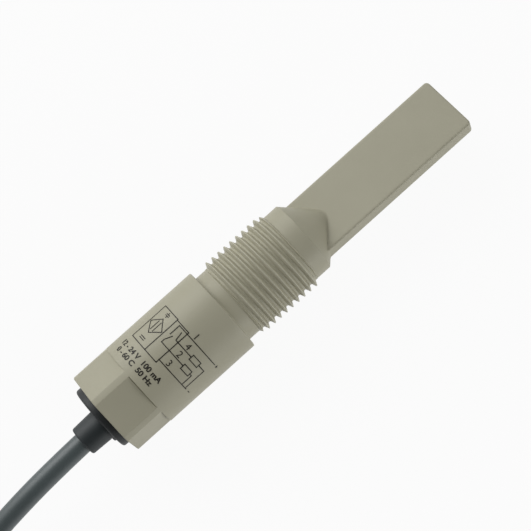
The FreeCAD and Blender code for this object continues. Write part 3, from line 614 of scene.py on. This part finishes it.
# Tinted epoxy: a yellow lens, clear enough to be deep in colour, with a polished skin
lamp_epoxy = mottled(
    "lamp_epoxy", "#C98A14", "#DDA02A",
    patch_mm=0.8, grain_mm=0.3, depth_mm=0.002, roughness=0.12, spread=0.03, Transmission_Weight=0.3,
)
coat(lamp_epoxy, "status_lamp")

# Inner cores of the cable: stranded copper in coloured PVC, which fan out from the jacket's end to their
# pads. Thin extruded PVC is smooth and fairly glossy.
CORE_COLOURS = {
    "brown": ("#4F2E1C", "#5C3825"),
    "white": ("#CBCAC3", "#D6D5CE"),
    "blue": ("#1B4590", "#2554A2"),
    "black": ("#171719", "#222225"),
}
core_pvc = {}
for colour, (dark, light) in CORE_COLOURS.items():
    core_pvc[colour] = mottled(
        f"core_pvc_{colour}", dark, light, patch_mm=3.0, grain_mm=0.3, depth_mm=0.004, roughness=0.33
    )
    coat(core_pvc[colour], f"inner_core_{colour}")

# Cable crimp: a ring of rolled brass, pressed on the jacket behind the boot so that the cable can't be
# pulled out.
coat(rolled_brass, "cable_crimp")

# Rear cap: a black moulded disc with a spigot that is pressed and bonded into the bore, and holes for the
# boot, the adjuster and the light pipe. A rubber ring in the spigot's groove seals it.
EDGE_BREAK = 0.1
EDGE_SEGMENTS = 2
MERGE_DISTANCE = 0.001
FLAT_DEG = 1.0
BEVEL_DEG = 35.0


def merged_copy(node):
    """Copy of a node's mesh with its loose triangles joined, flat faces whole and curved ones smooth."""
    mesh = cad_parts[node].data.copy()
    if "custom_normal" in mesh.attributes:
        mesh.attributes.remove(mesh.attributes["custom_normal"])
    work = bmesh.new()
    work.from_mesh(mesh)
    bmesh.ops.remove_doubles(work, verts=work.verts, dist=MERGE_DISTANCE * MM)
    bmesh.ops.dissolve_limit(work, angle_limit=np.radians(FLAT_DEG), verts=work.verts, edges=work.edges)
    work.to_mesh(mesh)
    work.free()
    mesh.shade_smooth()
    mesh.set_sharp_from_angle(angle=np.radians(BEVEL_DEG))
    return mesh


def break_edges(piece):
    """Breaks a piece's sharp edges with a narrow bevel, as a mould does."""
    bevel = piece.modifiers.new("edges", "BEVEL")
    bevel.width = EDGE_BREAK * MM
    bevel.segments = EDGE_SEGMENTS
    bevel.limit_method = "ANGLE"
    bevel.angle_limit = np.radians(BEVEL_DEG)


# Black glass-filled nylon: deep grey-black with the fine grain of an eroded mould, which spreads the light
moulded_nylon = mottled(
    "moulded_nylon", "#1F2223", "#2A2E2F",
    patch_mm=5.0, grain_mm=0.35, depth_mm=0.012, roughness=0.5, Specular_IOR_Level=0.35,
)
cap_mesh = merged_copy("rear_cap")
rear_cap = dress("moulded_rear_cap", cap_mesh, moulded_nylon, "sensor", "cap_plastic", "rear_cap")
break_edges(rear_cap)

# Nitrile rubber: dull black, with a faint bloom on its skin
nitrile_rubber = mottled(
    "nitrile_rubber", "#121213", "#1C1C1D",
    patch_mm=2.0, grain_mm=0.25, depth_mm=0.008, roughness=0.62, Specular_IOR_Level=0.3,
)
coat(nitrile_rubber, "cap_seal_ring")

# Cable boot: a moulded rubber sleeve that keeps the cable from kinking where it leaves the cap.
# It is tapered outside, and its neck passes through the cap to a collar that snaps in behind.
boot_low, boot_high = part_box("cable_boot")
cap_low, cap_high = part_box("rear_cap")
BOOT_Y = -1.3
BOOT_Z = 2.3
BOOT_BORE = 2.55
BOOT_END_RADIUS = 3.65
BOOT_BASE_RADIUS = 3.875
BOOT_NECK_RADIUS = 3.3
BOOT_COLLAR_RADIUS = 4.2
BOOT_MOUTH_ROUND = 0.15
BOOT_END_ROUND = 0.55
BOOT_BASE_ROUND = 0.1
BOOT_NECK_ROUND = 0.05
BOOT_COLLAR_ROUND = 0.2
BOOT_RIM_ROUND = 0.3
BOOT_BORE_ROUND = 0.1
ROUND_STEPS = 7
TURNED_SIDES = 72


def rounded(corners):
    """Outline through (along, radius, rounding) corners, each cut by a parabola that touches both its sides.

    A corner P becomes (1 - s)^2 A + 2 s (1 - s) P + s^2 B for s from 0 to 1, where A and B lie one rounding
    from P.
    """
    place = np.array([corner[:2] for corner in corners])
    size = np.array([corner[2:] for corner in corners])
    before = np.roll(place, 1, axis=0) - place
    after = np.roll(place, -1, axis=0) - place
    arrive = place + size * before / np.linalg.norm(before, axis=1, keepdims=True)
    leave = place + size * after / np.linalg.norm(after, axis=1, keepdims=True)
    s = np.linspace(0, 1, ROUND_STEPS)[:, None, None]
    arcs = (1 - s) ** 2 * arrive + 2 * s * (1 - s) * place + s**2 * leave
    return arcs.swapaxes(0, 1).reshape(-1, 2)


def turned(outline, place, axis=(1, 0, 0)):
    """Rows of an outline turned about a line: place + along axis + radius (cos t across + sin t upright)."""
    axis = np.array(axis) / np.linalg.norm(axis)
    across = np.cross((0, 0, 1), axis)
    across = across / np.linalg.norm(across)
    upright = np.cross(axis, across)
    turn = np.linspace(0, 2 * np.pi, TURNED_SIDES, endpoint=False)
    spoke = np.cos(turn)[:, None] * across + np.sin(turn)[:, None] * upright
    along, radius = np.asarray(outline).T
    return np.asarray(place) + along[:, None, None] * axis + radius[:, None, None] * spoke


boot_end = boot_low.x / MM
collar_end = boot_high.x / MM
spigot_end = cap_high.x / MM
cap_face = cap_low.x / MM
boot_outline = rounded([
    (boot_end, BOOT_BORE, BOOT_MOUTH_ROUND),
    (boot_end, BOOT_END_RADIUS, BOOT_END_ROUND),
    (cap_face, BOOT_BASE_RADIUS, BOOT_BASE_ROUND),
    (cap_face, BOOT_NECK_RADIUS, BOOT_NECK_ROUND),
    (spigot_end, BOOT_NECK_RADIUS, BOOT_NECK_ROUND),
    (spigot_end, BOOT_COLLAR_RADIUS, BOOT_COLLAR_ROUND),
    (collar_end, BOOT_COLLAR_RADIUS, BOOT_RIM_ROUND),
    (collar_end, BOOT_BORE, BOOT_BORE_ROUND),
])

# Moulded chloroprene rubber: blue-black, with a soft broad sheen and a fine even grain
chloroprene_rubber = mottled(
    "chloroprene_rubber", "#182022", "#232B2D", patch_mm=4.0, grain_mm=0.3, depth_mm=0.012, roughness=0.55
)
boot_grid = turned(boot_outline, (0, BOOT_Y, BOOT_Z))
boot_mesh = mesh_of("rubber_cable_boot", [closed_surface(boot_grid, "ring")])
dress("rubber_cable_boot", boot_mesh, chloroprene_rubber, "sensor", "boot_rubber", "cable_boot")

# Light pipe: a turned and polished rod of clear polycarbonate, bonded in the cap, that brings the status
# lamp's light to a low dome on the cap's face.
pipe_low, pipe_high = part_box("light_pipe")
PIPE_Y = (pipe_low.y + pipe_high.y) / 2 / MM
PIPE_Z = (pipe_low.z + pipe_high.z) / 2 / MM
PIPE_RADIUS = (pipe_high.y - pipe_low.y) / 2 / MM
PIPE_DOME = 0.3
PIPE_DOME_ROWS = 10
PIPE_DOME_FIRST = 0.1
PIPE_MARGIN = 1.5
PIPE_CHAMFER = 0.1
pipe_start = pipe_low.x / MM
pipe_end = pipe_high.x / MM
dome_radius = PIPE_RADIUS * np.sin(np.linspace(PIPE_DOME_FIRST, np.pi / 2, PIPE_DOME_ROWS))
dome_depth = PIPE_DOME * (1 - np.sqrt(1 - (dome_radius / PIPE_RADIUS) ** 2))
dome = np.stack([pipe_start + dome_depth, dome_radius], axis=-1)
rod = [
    (pipe_start + PIPE_MARGIN, PIPE_RADIUS),
    (pipe_end - PIPE_CHAMFER, PIPE_RADIUS),
    (pipe_end, PIPE_RADIUS - PIPE_CHAMFER),
]
pipe_grid = turned(np.concatenate([dome, rod]), (0, PIPE_Y, PIPE_Z))

# Polished polycarbonate: clear, and bright where the light leaves it, with the faint ripple of polishing
clear_polycarbonate = mottled(
    "clear_polycarbonate", "#DCE2E0", "#E8ECEA", patch_mm=3.0, grain_mm=0.5, depth_mm=0.001,
    roughness=0.08, spread=0.03, IOR=1.585, Transmission_Weight=1.0,
)
pipe_mesh = mesh_of("clear_light_pipe", [closed_surface(pipe_grid, "poles")])
dress("clear_light_pipe", pipe_mesh, clear_polycarbonate, "sensor", "light_pipe_clear", "light_pipe")

# Sensitivity adjuster: a moulded spindle with a slotted head outside the cap, a seal ring on its stem and a
# tongue that turns the trimmer's white rotor. All three turn together.
# Black acetal: smooth and waxy, a little glossier than the cap.
moulded_acetal = mottled(
    "moulded_acetal", "#1B1D1F", "#26292B", patch_mm=2.0, grain_mm=0.3, depth_mm=0.006, roughness=0.38
)
spindle = dress(
    "slotted_adjuster_spindle", merged_copy("adjuster_spindle"), moulded_acetal,
    "adjuster", "adjuster_plastic", "adjuster_spindle",
)
break_edges(spindle)
coat(nitrile_rubber, "spindle_seal_ring")

# Natural acetal: milky white and smooth
natural_acetal = mottled(
    "natural_acetal", "#CFCDC3", "#DAD8CF", patch_mm=1.5, grain_mm=0.25, depth_mm=0.003, roughness=0.36
)
coat(natural_acetal, "trimmer_rotor")

# Cable: four cores in a slate-grey PVC jacket, 5 mm thick and 2 m long, extruded and left satin.
# It leaves the boot, comes down to the surface, and its spare length is folded into a hank: an outer column
# of turns from the bottom up, and an inner one from the top down, with its end in the hank's open middle.
CABLE_RADIUS = 2.5
LEAD_ROUTE = [
    (-37.35, BOOT_Y, BOOT_Z),
    (-60.65, BOOT_Y, BOOT_Z),
    (-84.0, -2.9, -1.6),
    (-103.0, -6.3, -7.3),
    (-121.0, -8.4, -7.7),
    (-135.0, -8.5, -7.7),
]
TAIL_ROUTE = [
    (-128.0, -2.8, -7.8),
    (-135.0, -0.6, -8.2),
    (-142.0, 1.2, -8.5),
]
HANK_NEAR_X = -123.0
HANK_FAR_X = -172.0
HANK_Y = 11.5
HANK_FLOOR_Z = -7.7
HANK_STEP = 5.02
HANK_OUTER = 20.0
HANK_INNER = 15.0
HANK_LEVELS = 5
FOLD_POINTS = 8
CORD_FINENESS = 8


def fold(centre_x, first_deg, radii, levels):
    """Points of a half turn clockwise: the corners of a polygon drawn round its circle.

    A spline on them has the circle's radius. The radius moves in over the first half of the turn, and the
    height changes over the second.
    """
    step = np.pi / FOLD_POINTS
    share = (np.arange(FOLD_POINTS) + 0.5) / FOLD_POINTS
    turn = np.radians(first_deg) - step * (np.arange(FOLD_POINTS) + 0.5)
    radius = radii[0] + (radii[1] - radii[0]) * np.clip(2 * share, 0, 1)
    level = levels[0] + (levels[1] - levels[0]) * np.clip(2 * share - 1, 0, 1)
    radius = radius / np.cos(step / 2)
    height = HANK_FLOOR_Z + HANK_STEP * level
    return np.stack([centre_x + radius * np.cos(turn), HANK_Y + radius * np.sin(turn), height], axis=-1)


def cord_piece(name, route, radius, material, slot, *nodes):
    """Cord as one smooth spline, with its route's points as control points and a round section."""
    curve = bpy.data.curves.new(name, "CURVE")
    curve.dimensions = "3D"
    curve.bevel_depth = radius * MM
    curve.bevel_resolution = CORD_FINENESS
    curve.resolution_u = CORD_FINENESS
    curve.use_fill_caps = True
    spline = curve.splines.new("NURBS")
    spline.points.add(len(route) - 1)
    weighted = np.column_stack([np.array(route) * MM, np.ones(len(route))])
    spline.points.foreach_set("co", weighted.ravel())
    spline.order_u = 3
    spline.use_endpoint_u = True
    curve.materials.append(material)
    piece = bpy.data.objects.new(name, curve)
    bpy.context.scene.collection.objects.link(piece)
    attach(piece, "sensor")
    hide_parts(*nodes)
    return piece


turns = []
top = HANK_LEVELS - 1
for level in range(HANK_LEVELS):
    inward = HANK_OUTER if level < top else HANK_INNER
    turns.append(fold(HANK_FAR_X, -90, (HANK_OUTER, HANK_OUTER), (level, level)))
    turns.append(fold(HANK_NEAR_X, 90, (HANK_OUTER, inward), (level, min(level + 1, top))))
for level in range(top, 0, -1):
    turns.append(fold(HANK_FAR_X, -90, (HANK_INNER, HANK_INNER), (level, level - 1)))
    turns.append(fold(HANK_NEAR_X, 90, (HANK_INNER, HANK_INNER), (level - 1, level - 1)))
cable_route = np.concatenate([LEAD_ROUTE, *turns, TAIL_ROUTE])

# Extruded PVC: satin, with a slight drift of shade along it and the faint unevenness of the extruder's die
jacket_pvc = mottled(
    "jacket_pvc", "#424B4C", "#4E5859",
    patch_mm=14.0, grain_mm=0.6, depth_mm=0.015, roughness=0.42, IOR=1.53, Specular_IOR_Level=0.6,
)
jacket_nodes = ("cable", "cable_hank", "cable_tail")
cable = cord_piece("pvc_cable", cable_route, CABLE_RADIUS, jacket_pvc, "cable_pvc", *jacket_nodes)

# Hank ties: two nylon cable ties, each pulled round one straight bundle of the hank, with its head on top
# and its tail cut off close to the head.
ties_low, ties_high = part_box("hank_ties")
TIE_X = (ties_low.x + ties_high.x) / 2 / MM
TIE_SPREAD = (HANK_OUTER + HANK_INNER) / 2
TIE_WIDTH = 2.5
TIE_THICKNESS = 0.8
TIE_EDGE = 0.2
TIE_EDGE_SHARE = 0.25
TIE_HEAD = (4.4, 3.4, 2.6)
TIE_HEAD_EDGE = 0.4
TIE_TAIL = (2.3, 1.2, 0.9)
TIE_TAIL_EDGE = 0.15
TIE_TAIL_SETBACK = 1.9
TIE_POINTS = 240
BLOCK_POINTS = 96
bundle_half_width = HANK_OUTER - TIE_SPREAD + CABLE_RADIUS
bundle_half_height = HANK_LEVELS * CABLE_RADIUS
bundle_middle_z = cad_box[0].z / MM + TIE_THICKNESS + bundle_half_height
band_turn = np.linspace(0, 2 * np.pi, TIE_POINTS, endpoint=False)[:, None]
bundle = np.array([bundle_half_width, bundle_half_height, CABLE_RADIUS])
band_inner = rectangle_radius(band_turn, *bundle)
band_outer = rectangle_radius(band_turn, *(bundle + TIE_THICKNESS))
half = TIE_WIDTH / 2
flat_half = half - TIE_EDGE
band_across = np.array([-half, -half, -flat_half, flat_half, half, half, flat_half, -flat_half])
band_share = np.array([TIE_EDGE_SHARE, 1 - TIE_EDGE_SHARE, 1, 1, 1 - TIE_EDGE_SHARE, TIE_EDGE_SHARE, 0, 0])


def block(middle, size, edge):
    """Rows of a block with rounded edges: round-cornered rectangles that draw in at the top and bottom."""
    turn = np.linspace(0, 2 * np.pi, BLOCK_POINTS, endpoint=False)
    drawn_in = edge * (1 - np.sin(quarter))
    inset = np.concatenate([drawn_in, drawn_in[::-1]])
    climb = edge * (1 - np.cos(quarter)) - size[2] / 2
    rise = np.concatenate([climb, -climb[::-1]])
    radius = rectangle_radius(turn, size[0] / 2 - inset, size[1] / 2 - inset, edge + TINY)
    grid = [radius * np.cos(turn), radius * np.sin(turn), np.broadcast_to(rise, radius.shape)]
    return np.asarray(middle) + np.stack(grid, axis=-1)


tie_surfaces = []
for side in (-1, 1):
    middle_y = HANK_Y + side * TIE_SPREAD
    reach = band_inner + band_share * (band_outer - band_inner)
    band = [
        np.broadcast_to(TIE_X + band_across, reach.shape),
        middle_y + reach * np.cos(band_turn),
        bundle_middle_z + reach * np.sin(band_turn),
    ]
    head_z = bundle_middle_z + bundle_half_height + TIE_HEAD[2] / 2
    tail_place = (TIE_X, middle_y + TIE_TAIL_SETBACK, head_z)
    tie_surfaces.append(closed_surface(np.stack(band, axis=-1), "ring"))
    tie_surfaces.append(closed_surface(block((TIE_X, middle_y, head_z), TIE_HEAD, TIE_HEAD_EDGE), "poles"))
    tie_surfaces.append(closed_surface(block(tail_place, TIE_TAIL, TIE_TAIL_EDGE), "poles"))

# Natural nylon: milky and slightly see-through, half glossy
natural_nylon = mottled(
    "natural_nylon", "#CFCCBE", "#DCD9CD", patch_mm=4.0, grain_mm=0.4, depth_mm=0.006, roughness=0.4,
    Subsurface_Weight=0.1, Subsurface_Scale=0.0008,
)
ties_mesh = mesh_of("nylon_hank_ties", tie_surfaces)
ties = dress("nylon_hank_ties", ties_mesh, natural_nylon, "sensor", "tie_nylon", "hank_ties")

# Stripped end: four cores that fan out of the cable's end and lie on the surface, each with a tinned copper
# ferrule crimped on its strands.
CORE_RADIUS = 0.65
CORE_RING = 1.05
CORE_GAP = 0.3
CORE_ORDER = (3, 0, 1, 2)
CORE_STEPS = (10.0, 20.5, 31.0)
CORE_SPREAD = (0.2, 0.58, 1.0)
CORE_DROP = (0.16, 1.0, 1.0)
CORE_FIRST_Y = 6.0
CORE_SPACING = 3.5
FERRULE_COLLAR_RADIUS = 0.85
FERRULE_RADIUS = 0.5
FERRULE_COLLAR = 2.0
FERRULE_LENGTH = 7.0
FERRULE_FIT = 0.02
FERRULE_FLARE = 0.7
FERRULE_EDGE = 0.1
CRIMP_DEPTH = 0.07
CRIMP_START = 2.8
CRIMP_END = 6.4
CRIMP_NOTCHES = 4
CRIMP_POINTS = 25
jacket_tip = np.array(TAIL_ROUTE[-1])
onward = jacket_tip - np.array(TAIL_ROUTE[-2])
onward = onward / np.linalg.norm(onward)
core_end_z = cad_box[0].z / MM + FERRULE_COLLAR_RADIUS

# The ferrule's outline: its collar, its barrel with a row of crimp notches, sin^2 along it, and its end
crimp_share = np.linspace(0, 1, CRIMP_POINTS)
crimp_along = CRIMP_START + (CRIMP_END - CRIMP_START) * crimp_share
crimp_radius = FERRULE_RADIUS - CRIMP_DEPTH * np.sin(np.pi * CRIMP_NOTCHES * crimp_share) ** 2
ferrule_outline = np.concatenate([
    [(0.0, CORE_RADIUS + FERRULE_FIT), (0.0, FERRULE_COLLAR_RADIUS)],
    [(FERRULE_COLLAR - FERRULE_FLARE, FERRULE_COLLAR_RADIUS), (FERRULE_COLLAR, FERRULE_RADIUS)],
    np.stack([crimp_along, crimp_radius], axis=-1),
    [(FERRULE_LENGTH - FERRULE_EDGE, FERRULE_RADIUS), (FERRULE_LENGTH, FERRULE_RADIUS - FERRULE_EDGE)],
])
for number, (colour, pvc) in enumerate(core_pvc.items()):
    ring_turn = np.pi / 2 * (number + 0.5)
    start = jacket_tip + CORE_GAP * onward + CORE_RING * np.array([0, np.cos(ring_turn), np.sin(ring_turn)])
    end_y = CORE_FIRST_Y + CORE_SPACING * CORE_ORDER[number]
    route = [start]
    for step, spread, drop in zip(CORE_STEPS, CORE_SPREAD, CORE_DROP):
        y = start[1] + (end_y - start[1]) * spread
        z = start[2] + (core_end_z - start[2]) * drop
        route.append((start[0] - step, y, z))
    core = cord_piece(f"pvc_core_{colour}", route, CORE_RADIUS, pvc, f"core_{colour}", f"tail_core_{colour}")
    ahead = np.array(route[-1]) - np.array(route[-2])
    ferrule_name = f"crimped_ferrule_{colour}"
    ferrule_grid = turned(ferrule_outline, route[-1], ahead)
    ferrule_mesh = mesh_of(ferrule_name, [closed_surface(ferrule_grid, "poles")])
    ferrule = dress(ferrule_name, ferrule_mesh, tinned_copper, "sensor", "tinned_copper", "core_ferrules")

# Camera at the photograph's angle: above the sensor, turned so that the sensor points to the upper right.
# It has a long lens at arm's length.
CAMERA_PLACE = (-22.256, -13.555, 386.723)
CAMERA_AIM = (1.827, 0.869, 0.0)
CAMERA_ROLL = np.radians(42.037)
CAMERA_NEAREST = 10.0
SENSOR_WIDTH = 36.0
FRAME_PIXELS = 531
FOCAL_PIXELS = 1695.81
camera = bpy.data.objects.new("camera", bpy.data.cameras.new("camera"))
bpy.context.scene.collection.objects.link(camera)
camera.data.sensor_width = SENSOR_WIDTH
camera.data.lens = SENSOR_WIDTH * FOCAL_PIXELS / FRAME_PIXELS
camera.data.clip_start = CAMERA_NEAREST * MM
back = (Vector(CAMERA_PLACE) - Vector(CAMERA_AIM)).normalized()
level_right = Vector((0, 1, 0)).cross(back).normalized()
level_up = back.cross(level_right)
turned_right = np.cos(CAMERA_ROLL) * level_right - np.sin(CAMERA_ROLL) * level_up
turned_up = np.sin(CAMERA_ROLL) * level_right + np.cos(CAMERA_ROLL) * level_up
axes = Matrix((turned_right, turned_up, back)).transposed().to_4x4()
camera.matrix_world = Matrix.Translation(Vector(CAMERA_PLACE) * MM) @ axes
bpy.context.scene.camera = camera

# Studio: a wide white sheet under the sensor, which is white to the camera and in reflections and keeps a
# faint shadow, a pale room all round with a darker ceiling, and two soft boxes, a strong one on the upper
# left and a weak one opposite.
FLOOR_REACH = 3000
FLOOR_GLOW = 0.93
PAPER_WHITE = "#E8E8E8"
ROOM_LIGHT = 0.36
CEILING_MIDDLE = (0.0, -0.34, 0.94)
WALL_TOP = 0.35
CEILING_EDGE = 0.75
CEILING = 0.1
KEY_PLACE = (-80, 618, 305)
KEY_WIDTH = 600
KEY_POWER = 3.35
SIDE_PLACE = (150, -465, 60)
SIDE_WIDTH = 300
SIDE_POWER = 1.2


def seen_directly(tree):
    """Socket that is 1 for what the camera, a reflection or a clear piece shows, and else 0."""
    path = add_node(tree, "LightPath", {}, {}).outputs
    shown = {0: path["Is Camera Ray"], 1: path["Is Glossy Ray"]}
    either = add_node(tree, "Math", {"operation": "MAXIMUM"}, shown).outputs["Value"]
    through = {0: either, 1: path["Is Transmission Ray"]}
    return add_node(tree, "Math", {"operation": "MAXIMUM"}, through).outputs["Value"]


def softbox(name, place_mm, width_mm, power):
    """Square soft light at a place, facing the origin."""
    lamp = bpy.data.lights.new(name, "AREA")
    lamp.size = width_mm * MM
    lamp.energy = power
    stand = bpy.data.objects.new(name, lamp)
    bpy.context.scene.collection.objects.link(stand)
    facing = Vector(place_mm).to_track_quat("Z", "Y").to_matrix().to_4x4()
    stand.matrix_world = Matrix.Translation(Vector(place_mm) * MM) @ facing


floor_z = cad_box[0].z
reach = FLOOR_REACH * MM
floor_mesh = bpy.data.meshes.new("floor")
corners = [(x * reach, y * reach, floor_z) for x, y in ((-1, -1), (1, -1), (1, 1), (-1, 1))]
floor_mesh.from_pydata(corners, [], [(0, 1, 2, 3)])
floor = bpy.data.objects.new("floor", floor_mesh)
bpy.context.scene.collection.objects.link(floor)
white_paper = bpy.data.materials.new("white_paper")
white_paper.use_nodes = True
tree = white_paper.node_tree
tree.nodes.clear()
share = add_node(tree, "Math", {"operation": "MULTIPLY"}, {0: seen_directly(tree), 1: FLOOR_GLOW})
matt = add_node(tree, "BsdfDiffuse", {}, {"Color": linear(PAPER_WHITE)})
glow = add_node(tree, "Emission", {}, {"Strength": 1.0})
mixed = add_node(tree, "MixShader", {}, {0: share.outputs[0], 1: matt.outputs[0], 2: glow.outputs[0]})
add_node(tree, "OutputMaterial", {}, {"Surface": mixed.outputs[0]})
floor_mesh.materials.append(white_paper)

world = bpy.data.worlds.new("studio")
bpy.context.scene.world = world
world.use_nodes = True
tree = world.node_tree
tree.nodes.clear()
heading = add_node(tree, "TexCoord", {}, {}).outputs["Generated"]
toward = {0: heading, 1: CEILING_MIDDLE}
height = add_node(tree, "VectorMath", {"operation": "DOT_PRODUCT"}, toward).outputs["Value"]
overhead = {"Value": height, "From Min": WALL_TOP, "From Max": CEILING_EDGE}
overhead |= {"To Min": 1.0, "To Max": CEILING}
shade = add_node(tree, "MapRange", {}, overhead).outputs["Result"]
room = add_node(tree, "Background", {}, {"Color": (1, 1, 1, 1), "Strength": ROOM_LIGHT})
walls = add_node(tree, "Background", {}, {"Color": (1, 1, 1, 1), "Strength": shade})
mixed = add_node(tree, "MixShader", {}, {0: seen_directly(tree), 1: room.outputs[0], 2: walls.outputs[0]})
add_node(tree, "OutputWorld", {}, {"Surface": mixed.outputs[0]})
softbox("key_light", KEY_PLACE, KEY_WIDTH, KEY_POWER)
softbox("side_light", SIDE_PLACE, SIDE_WIDTH, SIDE_POWER)
bpy.context.scene.view_settings.view_transform = "Standard"
